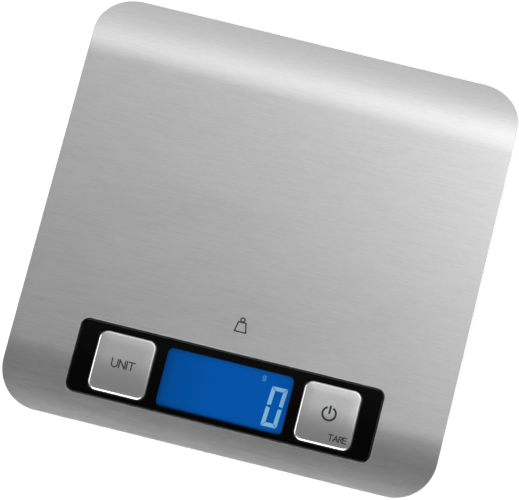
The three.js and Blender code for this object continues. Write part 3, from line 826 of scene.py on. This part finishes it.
class Tree:
    """A Geometry Nodes tree whose inputs are a piece's sizes. It makes plain meshes."""

    def __init__(self, name, **sizes):
        self.group = bpy.data.node_groups.new(name, "GeometryNodeTree")
        sockets = self.group.interface
        sockets.new_socket("Points", in_out="INPUT", socket_type="NodeSocketGeometry")
        sockets.new_socket("Mesh", in_out="OUTPUT", socket_type="NodeSocketGeometry")
        self.keys = {}
        for key, value in sizes.items():
            kind = {int: "Int", float: "Float", tuple: "Vector"}[type(value)]
            socket = sockets.new_socket(key, in_out="INPUT", socket_type="NodeSocket" + kind)
            socket.default_value = value
            self.keys[key] = socket.identifier
        self.inputs = self.group.nodes.new("NodeGroupInput")

    def size(self, name):
        return self.inputs.outputs[name]

    def node(self, kind, sockets, output=0, **settings):
        node = self.group.nodes.new(kind if "Node" in kind else "GeometryNode" + kind)
        for key, value in settings.items():
            setattr(node, key, value)
        for key, values in sockets.items():
            for value in values if isinstance(values, list) else [values]:
                if isinstance(value, bpy.types.NodeSocket):
                    self.group.links.new(value, node.inputs[key])
                else:
                    node.inputs[key].default_value = value
        return node.outputs[output]

    def vector(self, x=0.0, y=0.0, z=0.0):
        return self.node("ShaderNodeCombineXYZ", {"X": x, "Y": y, "Z": z})

    def times(self, value, factor):
        """A size, given by its name, or any other value, multiplied."""
        value = self.size(value) if isinstance(value, str) else value
        return self.node("ShaderNodeMath", {0: value, 1: factor}, operation="MULTIPLY")

    def moved(self, shape, offset=(0, 0, 0), turn=(0, 0, 0), scale=(1, 1, 1)):
        sockets = {0: shape, "Translation": offset, "Rotation": turn, "Scale": scale}
        return self.node("Transform", sockets)

    def joined(self, *shapes):
        return self.node("JoinGeometry", {0: list(reversed(shapes))})

    def on_points(self, shape, turn=(0, 0, 0)):
        points = self.node("MeshToPoints", {0: self.inputs.outputs[0], "Radius": 0.0})
        return self.node("InstanceOnPoints", {0: points, "Instance": shape, "Rotation": turn})

    def swept(self, curve, profile):
        return self.node("CurveToMesh", {0: curve, "Profile Curve": profile, "Fill Caps": True})

    def ends(self, shape):
        out = self.group.nodes.new("NodeGroupOutput")
        real = self.node("RealizeInstances", {0: shape})
        self.coat = self.group.nodes.new("GeometryNodeSetMaterial")
        self.group.links.new(real, self.coat.inputs[0])
        self.group.links.new(self.coat.outputs[0], out.inputs[0])
        return self

    def made(self, name, places, material, body, slot, replaces=(), edges=(), **sizes):
        """Runs the tree on places, or on a line through them, and keeps its result as a piece."""
        start = bpy.data.meshes.new(name + "_places")
        start.from_pydata([tuple(place) for place in places], edges, [])
        made = bpy.data.objects.new(name, start)
        scene.collection.objects.link(made)
        self.coat.inputs["Material"].default_value = material
        worker = made.modifiers.new("tree", "NODES")
        worker.node_group = self.group
        for key, value in sizes.items():
            worker[self.keys[key]] = value
        graph = bpy.context.evaluated_depsgraph_get()
        mesh = bpy.data.meshes.new_from_object(made.evaluated_get(graph), depsgraph=graph)
        made.modifiers.remove(worker)
        made.data = mesh
        mesh.name = name
        bpy.data.meshes.remove(start)
        return settled(made, body, slot, replaces)


GRIP_PITCH = 1.6 * MM
GRIP_COUNT = 5
GRIP_START = 4.0 * MM  # behind the door's front edge

eased("battery_door_panel", "battery_door", 0.18 * MM, abs_black, "door", "black_abs")
eased("battery_door_spring", "battery_door_latch", 0.15 * MM, abs_fine, "door", "black_abs")

ribs = Tree("grip_ribs", Length=16.0 * MM, Width=0.7 * MM, Height=0.5 * MM)
bar = ribs.node("CurvePrimitiveLine", {"Start": (-0.5, 0, 0), "End": (0.5, 0, 0)})
bar = ribs.moved(bar, scale=ribs.vector(ribs.size("Length"), 1.0, 1.0))
section = ribs.node("CurvePrimitiveCircle", {"Resolution": 12, "Radius": 0.5})
section = ribs.moved(section, scale=ribs.vector(ribs.size("Width"), ribs.size("Height"), 1.0))
ribs.ends(ribs.on_points(ribs.swept(bar, section)))
door_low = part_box("battery_door")[0]
rib_places = [(0, door_low.y + GRIP_START + k * GRIP_PITCH, door_low.z) for k in range(GRIP_COUNT)]
ribs.made("door_grip_ribs", rib_places, abs_black, "door", "black_abs")

# ---- The feet ------------------------------------------------------------------------------------
# Four moulded rubber pads glued into the base's corners, with grip rings round their treads.

FOOT_RINGS = 4
FOOT_GROOVE = 0.35 * MM
RING_START, RING_PITCH, RING_WIDTH = 0.16, 0.19, 0.12  # shares of the foot's radius
RING_SLOPE = 0.15 * MM


def turned(profile, centre=(0, 0, 0), along="Z", side=1, steps=48):
    """A solid turned from (radius, height) points that run from pole to pole, along Z or X."""
    bm = bmesh.new()
    rings = []
    for radius, height in profile:
        count = 1 if radius == 0 else steps
        ring = []
        for k in range(count):
            angle = 2 * math.pi * k / steps
            across, up = radius * math.cos(angle), radius * math.sin(angle)
            spot = (across, up, height) if along == "Z" else (side * height, across, up)
            ring.append(bm.verts.new(Vector(centre) + Vector(spot)))
        rings.append(ring)
    for lower, upper in zip(rings, rings[1:]):
        for k in range(steps):
            around = ((lower, k - 1), (lower, k), (upper, k), (upper, k - 1))
            corners = [ring[j % len(ring)] for ring, j in around]
            bm.faces.new(list(dict.fromkeys(corners)))
    bmesh.ops.recalc_face_normals(bm, faces=bm.faces)
    return bm


def foot_profile(radius, top):
    """Out over the tread's rings, round the shoulder and up the side to the flat top."""
    tread = [(0, FOOT_GROOVE)]
    for ring in range(FOOT_RINGS):
        start = radius * (RING_START + RING_PITCH * ring)
        stop = start + radius * RING_WIDTH
        tread += [(start - RING_SLOPE, FOOT_GROOVE), (start, 0.0)]
        tread += [(stop, 0.0), (stop + RING_SLOPE, FOOT_GROOVE)]
    tread[-1] = (radius * 0.88, 0.1 * MM)
    shoulder = [(radius * 0.94, 0.35 * MM), (radius * 0.985, 0.8 * MM), (radius, 1.4 * MM)]
    return tread + shoulder + [(radius, top - 0.2 * MM), (radius - 0.2 * MM, top), (0, top)]


rubber = mottled(
    "foot_rubber", 900, (0.017, 0.017, 0.018), (0.035, 0.035, 0.036), detail=4.0, harsh=0.7, uneven=0.3,
    relief=(0.03 * MM, 0.6), roughness=0.8, Specular_IOR_Level=0.3,
)
for number in range(1, 5):
    node = f"foot_{number}"
    low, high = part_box(node)
    pad = turned(foot_profile((high.x - low.x) / 2, high.z), (*(low + high).xy / 2, 0))
    finished(f"rubber_foot_{number}", pad, rubber, "base", "foot_rubber", [node])

# ---- The screws and bolts ------------------------------------------------------------------------
# Zinc-plated steel with cross recesses: four hold the board, two the base to the load cell, and two
# countersunk ones the platform to it.

BOARD_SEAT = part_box("main_board")[0].z
BASE_SEAT = 5.2 * MM  # where the base bolts' heads bear on the base
PLATFORM_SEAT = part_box("platform_bolt_1")[1].z - 1.5 * MM  # the small end of the countersunk heads

zinc = mottled(
    "zinc_plate", 400, (0.56, 0.58, 0.60), (0.72, 0.73, 0.72), detail=3.0, uneven=0.2,
    relief=(0.01 * MM, 0.5), roughness=0.32, metallic=1.0,
)

screw = Tree(
    "cross_head_screw", Head_Radius=2.4 * MM, Seat_Radius=2.4 * MM, Head_Height=1.6 * MM, Dome=1.6 * MM,
    Shank_Radius=1.1 * MM, Shank_Length=5.0 * MM, Turns=8.0, Turn=(0.0, 0.0, 0.0),
)
head_height = screw.size("Head_Height")
head = screw.node("MeshCone", {
    "Vertices": 40, "Radius Top": screw.size("Seat_Radius"), "Radius Bottom": screw.size("Head_Radius"),
    "Depth": head_height,
})
down = screw.times(head_height, -1.0)
head = screw.moved(head, offset=screw.vector(z=down))
ball = screw.node("MeshUVSphere", {"Segments": 40, "Rings": 20, "Radius": 1.0})
wide = screw.times("Head_Radius", 1.16)
ball = screw.moved(ball, scale=screw.vector(wide, wide, screw.size("Dome")))
head = screw.node("MeshBoolean", {"Mesh 2": [head, ball]}, operation="INTERSECT", solver="EXACT")
slot_size = screw.vector(screw.times("Head_Radius", 1.15), screw.times("Head_Radius", 0.3), head_height)
for turn in (0, math.pi / 2):
    blade = screw.node("MeshCube", {"Size": slot_size})
    blade = screw.moved(blade, offset=screw.vector(z=down), turn=(0, 0, turn + math.pi / 4))
    pair = {"Mesh 1": head, "Mesh 2": blade}
    head = screw.node("MeshBoolean", pair, operation="DIFFERENCE", solver="EXACT")
shank = screw.node("MeshCone", {
    "Vertices": 24, "Radius Top": screw.times("Shank_Radius", 0.75),
    "Radius Bottom": screw.times("Shank_Radius", 0.92), "Depth": screw.size("Shank_Length"),
})
thread = screw.node("CurveSpiral", {
    "Resolution": 20, "Rotations": screw.size("Turns"), "Start Radius": screw.size("Shank_Radius"),
    "End Radius": screw.times("Shank_Radius", 0.85), "Height": screw.times("Shank_Length", 0.95),
})
crest = screw.node("CurvePrimitiveCircle", {"Resolution": 3, "Radius": screw.times("Shank_Radius", 0.14)})
thread = screw.swept(thread, crest)
screw.ends(screw.on_points(screw.joined(head, shank, thread), turn=screw.size("Turn")))


def screws(stem, count, body, seat, **sizes):
    """Screws in the places of the CAD's, with their heads' bearing faces at the seat's height."""
    nodes = [f"{stem}_{number}" for number in range(1, count + 1)]
    middles = [sum(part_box(node), Vector()) / 2 for node in nodes]
    places = [(spot.x, spot.y, seat) for spot in middles]
    screw.made(stem + "s", places, zinc, body, "zinc_steel", nodes, **sizes)


screws(
    "board_screw", 4, "platform", BOARD_SEAT, Head_Radius=2.3 * MM, Seat_Radius=2.4 * MM,
    Head_Height=1.6 * MM, Dome=1.6 * MM, Shank_Radius=1.15 * MM, Shank_Length=5.5 * MM, Turns=6.0,
)
screws(
    "base_bolt", 2, "base", BASE_SEAT, Head_Radius=3.5 * MM, Seat_Radius=3.6 * MM, Head_Height=1.8 * MM,
    Dome=1.8 * MM, Shank_Radius=1.8 * MM, Shank_Length=8.2 * MM, Turns=11.0,
)
screws(
    "platform_bolt", 2, "platform", PLATFORM_SEAT, Head_Radius=3.7 * MM, Seat_Radius=1.9 * MM,
    Head_Height=1.5 * MM, Dome=9.0 * MM, Shank_Radius=1.8 * MM, Shank_Length=8.8 * MM, Turns=12.0,
    Turn=(math.pi, 0.0, 0.0),
)

# ---- The load cell and its brackets --------------------------------------------------------------
# A milled aluminium bar, thinned by two bores and a slot, between two plated steel plates. Strain
# gauges on its top and bottom lie under white silicone.

milled = Paint("milled_aluminium", metallic=1.0)
cutter = milled.noise((3000, 60, 60), detail=2.0)
blotches = milled.noise((120, 120, 120), detail=2.0)
milled.give("Base Color", milled.mix(cutter, (0.62, 0.63, 0.64), (0.80, 0.80, 0.81)))
milled.give("Roughness", (cutter - 0.5) * 0.15 + (blotches - 0.5) * 0.15 + 0.36)
milled.bump(cutter, 0.01 * MM, strength=0.5)
eased("load_cell_bar", "load_cell", 0.15 * MM, milled.material, "base", "cell_aluminium")
for node, body in (("platform_bracket", "platform"), ("base_bracket", "base")):
    eased(node + "_plate", node, 0.12 * MM, zinc, body, "zinc_steel")

BLOB_STEPS = 24
BLOB_CORNERS = 0.65  # how far the pad's corners are drawn in: 1 makes it round
BLOB_EDGE = 0.12  # how thick the pad is at its edge, as a share of its height
BLOB_WAVE = 0.05


def blob(low, high, up):
    """A smeared pad with a domed outer face, between two corners. Up is +1 or -1."""
    bm = bmesh.new()
    bmesh.ops.create_grid(bm, x_segments=BLOB_STEPS, y_segments=BLOB_STEPS, size=1.0)
    shell = bmesh.ops.extrude_face_region(bm, geom=bm.faces[:] + bm.edges[:] + bm.verts[:])
    lifted = {part for part in shell["geom"] if isinstance(part, bmesh.types.BMVert)}
    centre, half = (low + high) / 2, (high - low) / 2
    for vertex in bm.verts:
        x, y = vertex.co.x, vertex.co.y
        reach = max(abs(x), abs(y))
        if reach > 0:
            draw = 1 - BLOB_CORNERS + BLOB_CORNERS * reach / math.hypot(x, y)
            x, y = x * draw, y * draw
        dome = (1 - reach**4) ** 0.5 if reach < 1 else 0.0
        wave = 1 + BLOB_WAVE * math.sin(7 * x) * math.cos(5 * y)
        rise = min(1.0, (BLOB_EDGE + (1 - BLOB_EDGE) * dome) * wave) if vertex in lifted else 0.0
        vertex.co = (centre.x + half.x * x, centre.y + half.y * y, centre.z + up * half.z * (2 * rise - 1))
    bmesh.ops.recalc_face_normals(bm, faces=bm.faces)
    return bm


silicone = mottled(
    "white_silicone", 700, (0.70, 0.69, 0.64), (0.82, 0.81, 0.77), relief=(0.2 * MM, 0.5), roughness=0.45
)
for node, up in (("upper_gauge_coating", 1), ("lower_gauge_coating", -1)):
    finished(node + "_pad", blob(*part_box(node), up), silicone, "base", "white_silicone", [node])

# ---- The liquid-crystal cell ----------------------------------------------------------------------
# Two sheets of glass with a polariser on each, under the resin that bonds them to the cover. They lie
# in the holder on a white light guide, and a striped rubber strip joins them to the board.

GLASS_SHEET = 1.0 * MM
POLARISER = 0.2 * MM
POLARISER_MARGIN = 0.6 * MM
CELL_LEDGE = 2.2 * MM  # the lower sheet stands out here for its contacts


def plain_box(bm, low, high, arris=0.0):
    """A box between two corners, with its arrises rounded if they have a width."""
    made = bmesh.ops.create_cube(bm, size=1.0)["verts"]
    for vertex in made:
        vertex.co = [low[k] if vertex.co[k] < 0 else high[k] for k in range(3)]
    if arris:
        edges = list(dict.fromkeys(edge for vertex in made for edge in vertex.link_edges))
        bmesh.ops.bevel(
            bm, geom=edges, offset=arris, offset_type="OFFSET", segments=2, profile=0.5, affect="EDGES",
            clamp_overlap=True,
        )


def layered_cell(low, high):
    """The cell's four sheets between two corners, from the lower polariser up."""
    bm = bmesh.new()
    level = low.z
    for thickness, margin, ledge in (
        (POLARISER, POLARISER_MARGIN, CELL_LEDGE),
        (GLASS_SHEET, 0.0, 0.0),
        (GLASS_SHEET, 0.0, CELL_LEDGE),
        (POLARISER, POLARISER_MARGIN, CELL_LEDGE),
    ):
        near = (low.x + margin, low.y + margin + ledge, level)
        level += thickness
        plain_box(bm, near, (high.x - margin, high.y - margin, level), 0.05 * MM)
    return bm


cell_glass = mottled("cell_glass", 90, (0.004, 0.010, 0.030), (0.008, 0.018, 0.05), roughness=0.12)
cell = layered_cell(*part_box("lcd_glass"))
finished("display_cell", cell, cell_glass, "platform", "lcd_blue", ["lcd_glass"])

guide = Paint("light_guide", roughness=0.35, Emission_Color=(0.05, 0.2, 0.5), Emission_Strength=0.4)
dots = guide.pattern("ShaderNodeTexVoronoi", (900,) * 3, feature="F1")
dots = guide.steps(dots, (0.2, 1.0), (0.45, 0.0))
guide.give("Base Color", guide.mix(dots, (0.60, 0.68, 0.75), (0.85, 0.9, 0.95)))
eased("backlight_guide", "backlight_panel", 0.1 * MM, guide.material, "platform", "light_guide")

zebra = Paint("striped_rubber", roughness=0.6)
stripes = zebra.pattern("ShaderNodeTexWave", (1200, 1, 1), bands_direction="X")
stripes = zebra.steps(stripes, (0.45, 0.0), (0.55, 1.0))
zebra.give("Base Color", zebra.mix(stripes, (0.03,) * 3, (0.62, 0.61, 0.57)))
eased("zebra_strip", "lcd_contact_strip", 0.1 * MM, zebra.material, "platform", "white_silicone")

# ---- The key switches -----------------------------------------------------------------------------
# Tactile switches on the board: a black body under a stamped steel cover with four pressed pegs, bent
# pins at its sides, and a round plunger that carries the key's stem.

PIN_THICKNESS = 0.35 * MM
PIN_WIDTH = 0.8 * MM
PIN_OFFSET = 2.2 * MM  # of each pin from the middle of its side
PIN_FOOT, PIN_TOP = 0.05 * MM, 1.8 * MM  # above the switch's underside

pegs = Tree("cover_pegs", Radius=0.4 * MM, Spread=4.8 * MM)
peg = pegs.node("MeshUVSphere", {"Segments": 14, "Rings": 8, "Radius": pegs.size("Radius")})
spread = pegs.size("Spread")
corners = pegs.node("MeshGrid", {"Size X": spread, "Size Y": spread, "Vertices X": 2, "Vertices Y": 2})
square = pegs.node("InstanceOnPoints", {0: corners, "Instance": peg})
pegs.ends(pegs.on_points(pegs.moved(square, scale=(1, 1, 0.5))))


def switch_with_pins(node):
    """A switch's body with two pins on each side."""
    low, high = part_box(node)
    body = softened(node, 0.12 * MM)
    for inner, outer in ((low.x - PIN_THICKNESS, low.x), (high.x, high.x + PIN_THICKNESS)):
        for side in (-1, 1):
            y = (low.y + high.y) / 2 + side * PIN_OFFSET
            near = (inner, y - PIN_WIDTH / 2, low.z + PIN_FOOT)
            plain_box(body, near, (outer, y + PIN_WIDTH / 2, low.z + PIN_TOP), 0.05 * MM)
    return body


def plunger_profile(radius, foot, top):
    yield from ((0, foot), (radius, foot), (radius, top - 0.3 * MM))
    yield from ((radius * 0.93, top - 0.1 * MM), (radius * 0.8, top), (0, top))


switch_black = moulded_black("switch_black", CARRIER_GRAIN, shade=0.008, roughness=0.35)
for key in ("unit", "tare"):
    node = key + "_switch"
    low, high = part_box(node)
    x, y = (low + high).xy / 2
    finished(node + "_body", switch_with_pins(node), switch_black, "platform", "black_epoxy", [node])
    pegs.made(node + "_pegs", [(x, y, high.z)], zinc, "platform", "zinc_steel")
    low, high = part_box(node + "_plunger")
    plunger = turned(plunger_profile((high.x - low.x) / 2, low.z, high.z), (x, y, 0), steps=28)
    finished(key + "_plunger", plunger, silicone, key + "_key", "white_silicone", [node + "_plunger"])

# ---- The main board -------------------------------------------------------------------------------
# Glass-fibre board under green solder mask, with raised tracks, pads and soldered chip parts, and the
# controller, a bare die under a blob of black epoxy.

TRACK_WIDTH = 0.5 * MM
TRACK_HEIGHT = 0.06 * MM
TRACK_COUNT = 9
TRACK_PITCH = 1.1 * MM
LEAD_PADS = ((24, -56), (28, -56), (-10, -56))  # in millimetres, as are the places of the chip parts
CHIP_PARTS = [(-44 + 5 * (k % 6), -92 + 6 * (k // 6)) for k in range(12)]
CHIP_PARTS += [(30 + 5 * k, -60) for k in range(5)]
CHIP_PART_HANG = 0.3 * MM

board_low, board_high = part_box("main_board")
chip_low, chip_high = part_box("controller_chip")
chip_x, chip_y = (chip_low + chip_high).xy / 2

mask = mottled(
    "solder_mask", 800, (0.008, 0.085, 0.035), (0.014, 0.12, 0.05), relief=(0.01 * MM, 0.4), roughness=0.3
)
eased("control_board", "main_board", 0.08 * MM, mask, "platform", "circuit_board")

tracks = Tree("tracks", Width=TRACK_WIDTH, Height=TRACK_HEIGHT)
width, height = tracks.size("Width"), tracks.size("Height")
strip = tracks.node("CurvePrimitiveQuadrilateral", {"Width": width, "Height": height})
lines = tracks.node("MeshToCurve", {0: tracks.inputs.outputs[0]})
tracks.ends(tracks.swept(lines, strip))


def track_route(side, k):
    """One track's corners, from the controller forwards and out to its side of the board."""
    start_x = chip_x + side * (k + 0.5) * TRACK_PITCH * 0.6
    turn_y = chip_y - 8 * MM - (TRACK_COUNT - k) * TRACK_PITCH
    end_x = side * (34 + 1.6 * k) * MM
    yield from ((start_x, chip_y - 3 * MM), (start_x, turn_y + 2 * MM))
    yield from ((start_x + side * 2 * MM, turn_y), (end_x - side * 3 * MM, turn_y))
    yield from ((end_x, turn_y - 3 * MM), (end_x, turn_y - 8 * MM))


spots, joins = [], []
for side in (-1, 1):
    for k in range(TRACK_COUNT):
        first = len(spots)
        spots += [(x, y, board_low.z - TRACK_HEIGHT / 2) for x, y in track_route(side, k)]
        joins += [(j, j + 1) for j in range(first, len(spots) - 1)]
copper = mottled("masked_copper", 600, (0.025, 0.19, 0.08), (0.04, 0.25, 0.11), roughness=0.32)
tracks.made("board_tracks", spots, copper, "platform", "circuit_board", edges=joins)

solder = mottled("solder", 900, (0.60, 0.61, 0.63), (0.75, 0.76, 0.78), metallic=1.0, roughness=0.25)
joints = Tree("solder_joints", Radius=1.1 * MM, Height=0.7 * MM)
dome = joints.node("MeshUVSphere", {"Segments": 16, "Rings": 10, "Radius": 1.0})
dome_radius = joints.size("Radius")
dome = joints.moved(dome, scale=joints.vector(dome_radius, dome_radius, joints.size("Height")))
joints.ends(joints.on_points(dome))
pads = [(x * MM, y * MM, board_high.z) for x, y in LEAD_PADS]
joints.made("lead_solder", pads, solder, "platform", "zinc_steel")

parts = Tree("chip_parts", Length=2.0 * MM, Width=1.25 * MM, Height=0.6 * MM)
core_size = parts.vector(parts.size("Length"), parts.size("Width"), parts.size("Height"))
parts.ends(parts.on_points(parts.node("MeshCube", {"Size": core_size})))
ceramic = mottled("chip_ceramic", 700, (0.20, 0.14, 0.09), (0.30, 0.22, 0.14), roughness=0.5)
middles = [(x * MM, y * MM, board_low.z - CHIP_PART_HANG) for x, y in CHIP_PARTS]
tips = [(x + side * 1.0 * MM, y, z) for x, y, z in middles for side in (-1, 1)]
parts.made("chip_part_bodies", middles, ceramic, "platform", "black_epoxy")
end_sizes = {"Length": 0.5 * MM, "Width": 1.35 * MM, "Height": 0.66 * MM}
parts.made("chip_part_ends", tips, solder, "platform", "zinc_steel", **end_sizes)


def drop_profile(radius, low, high, steps=9):
    """A drop that hangs from a flat top."""
    yield 0, low
    for step in range(1, steps + 1):
        angle = math.pi / 2 * step / steps
        yield radius * math.sin(angle), high - (high - low) * math.cos(angle)
    yield 0, high


epoxy = mottled(
    "black_epoxy", 260, (0.006,) * 3, (0.012,) * 3, detail=1.0, relief=(0.15 * MM, 0.4), roughness=0.22
)
drop = turned(drop_profile((chip_high.x - chip_low.x) / 2, chip_low.z, chip_high.z), (chip_x, chip_y, 0))
finished("controller_blob", drop, epoxy, "platform", "black_epoxy", ["controller_chip"])

# ---- The battery bay ------------------------------------------------------------------------------
# Two AAA cells between nickel-plated contacts. Conical springs press on their flat ends, and shrunk
# plastic wraps leave the steel ends bare.

WIRE = 0.35 * MM
BATTERY_RADIUS = 5.25 * MM
NUB_RADIUS = 1.9 * MM
NUB_HEIGHT = 0.8 * MM
WRAP_BLUE = (0.03, 0.12, 0.34)
WRAP_SILVER = (0.55, 0.56, 0.58)

nickel = mottled(
    "nickel_plate", (700, 120, 120), (0.58, 0.56, 0.50), (0.74, 0.72, 0.66), detail=3.0, uneven=0.2,
    roughness=0.26, metallic=1.0,
)
for node in ("contact_link", "contact_positive", "contact_negative"):
    eased(node + "_plate", node, 0.08 * MM, nickel, "base", "nickel_contact")

spring = Tree(
    "conical_spring", Wire=WIRE, Wide=3.4 * MM, Narrow=2.2 * MM, Length=5.4 * MM, Turns=4.0,
    Turn=(0.0, 0.0, 0.0),
)
coil = spring.node("CurveSpiral", {
    "Resolution": 28, "Rotations": spring.size("Turns"), "Start Radius": spring.size("Wide"),
    "End Radius": spring.size("Narrow"), "Height": spring.size("Length"),
})
round_wire = spring.node("CurvePrimitiveCircle", {"Resolution": 10, "Radius": spring.size("Wire")})
spring.ends(spring.on_points(spring.swept(coil, round_wire), turn=spring.size("Turn")))


def battery_finish(name, side, start, length):
    """A blue wrap with a silver band near the positive end, over bare steel ends."""
    paint = Paint(name)
    share = (paint.here(0) * side - start) * (1 / length)
    crease = paint.noise((90, 300, 300), detail=3.0)
    blue, silver = WRAP_BLUE, WRAP_SILVER
    band = paint.steps(share, (0.02, blue), (0.70, blue), (0.705, silver), (0.96, silver))
    bare_ends = ((0.0, 1.0), (0.004, 1.0), (0.006, 0.0), (0.990, 0.0), (0.993, 1.0), (1.0, 1.0))
    steel = paint.steps(share, *bare_ends)
    paint.give("Base Color", paint.mix(steel, band, (0.66, 0.65, 0.62)))
    paint.give("Metallic", steel)
    paint.give("Roughness", (crease - 0.5) * 0.2 + 0.3)
    return paint.material


def can_profile(start, length):
    """Out over a cell's flat end, along its can, and in over the crimp to the nub."""
    side, nub, nub_top = BATTERY_RADIUS / MM, NUB_RADIUS / MM, NUB_HEIGHT / MM
    # Radii and places in millimetres, the places counted from the flat end and then from the crimp.
    flat_end = (
        (0, 0.2), (3.0, 0.2), (3.3, 0.0), (4.3, 0.0), (4.55, 0.12), (side - 0.3, 0.25),
        (side - 0.08, 0.5), (side, 0.9),
    )
    crimp = (
        (side, -1.0), (side - 0.1, -0.55), (side - 0.4, -0.25), (4.3, -0.16), (4.1, -0.3),
        (nub + 0.4, -0.3), (nub, -0.1), (nub, nub_top - 0.2), (nub - 0.2, nub_top), (0, nub_top),
    )
    for origin, rows in ((start, flat_end), (start + length, crimp)):
        for radius, along in rows:
            yield radius * MM, origin + along * MM


for number, side, spring_node in ((1, 1, "contact_spring_left"), (2, -1, "contact_spring_right")):
    node = f"battery_{number}"
    low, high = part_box(node)
    y, z = (low + high).yz / 2
    start = low.x if side > 0 else -high.x
    length = high.x - low.x - NUB_HEIGHT
    can = turned(can_profile(start, length), (0, y, z), along="X", side=side, steps=56)
    wrap = battery_finish(f"battery_wrap_{number}", side, start, length)
    finished(f"aaa_cell_{number}", can, wrap, "base", "cell_wrap", [node])
    low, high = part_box(spring_node)
    wide_end = low.x + WIRE if side > 0 else high.x - WIRE
    spring.made(
        spring_node + "_coil", [(wide_end, y, z)], nickel, "base", "nickel_contact", [spring_node],
        Length=high.x - low.x - 2 * WIRE, Turn=(0.0, side * math.pi / 2, 0.0),
    )

# ---- The leads ------------------------------------------------------------------------------------
# Two battery leads and the load cell's grey lead run under the housing to pads on the board. They are
# stranded wire in soft insulation.


for node, shade in (
    ("battery_lead_red", (0.42, 0.02, 0.015)),
    ("battery_lead_black", (0.012, 0.012, 0.012)),
    ("load_cell_lead", (0.24, 0.24, 0.24)),
):
    dark, light = tuple(c * 0.8 for c in shade), tuple(c * 1.15 for c in shade)
    insulation = mottled(
        node + "_insulation", 300, dark, light, relief=(0.05 * MM, 0.4), roughness=0.45
    )
    refinish(node, insulation)
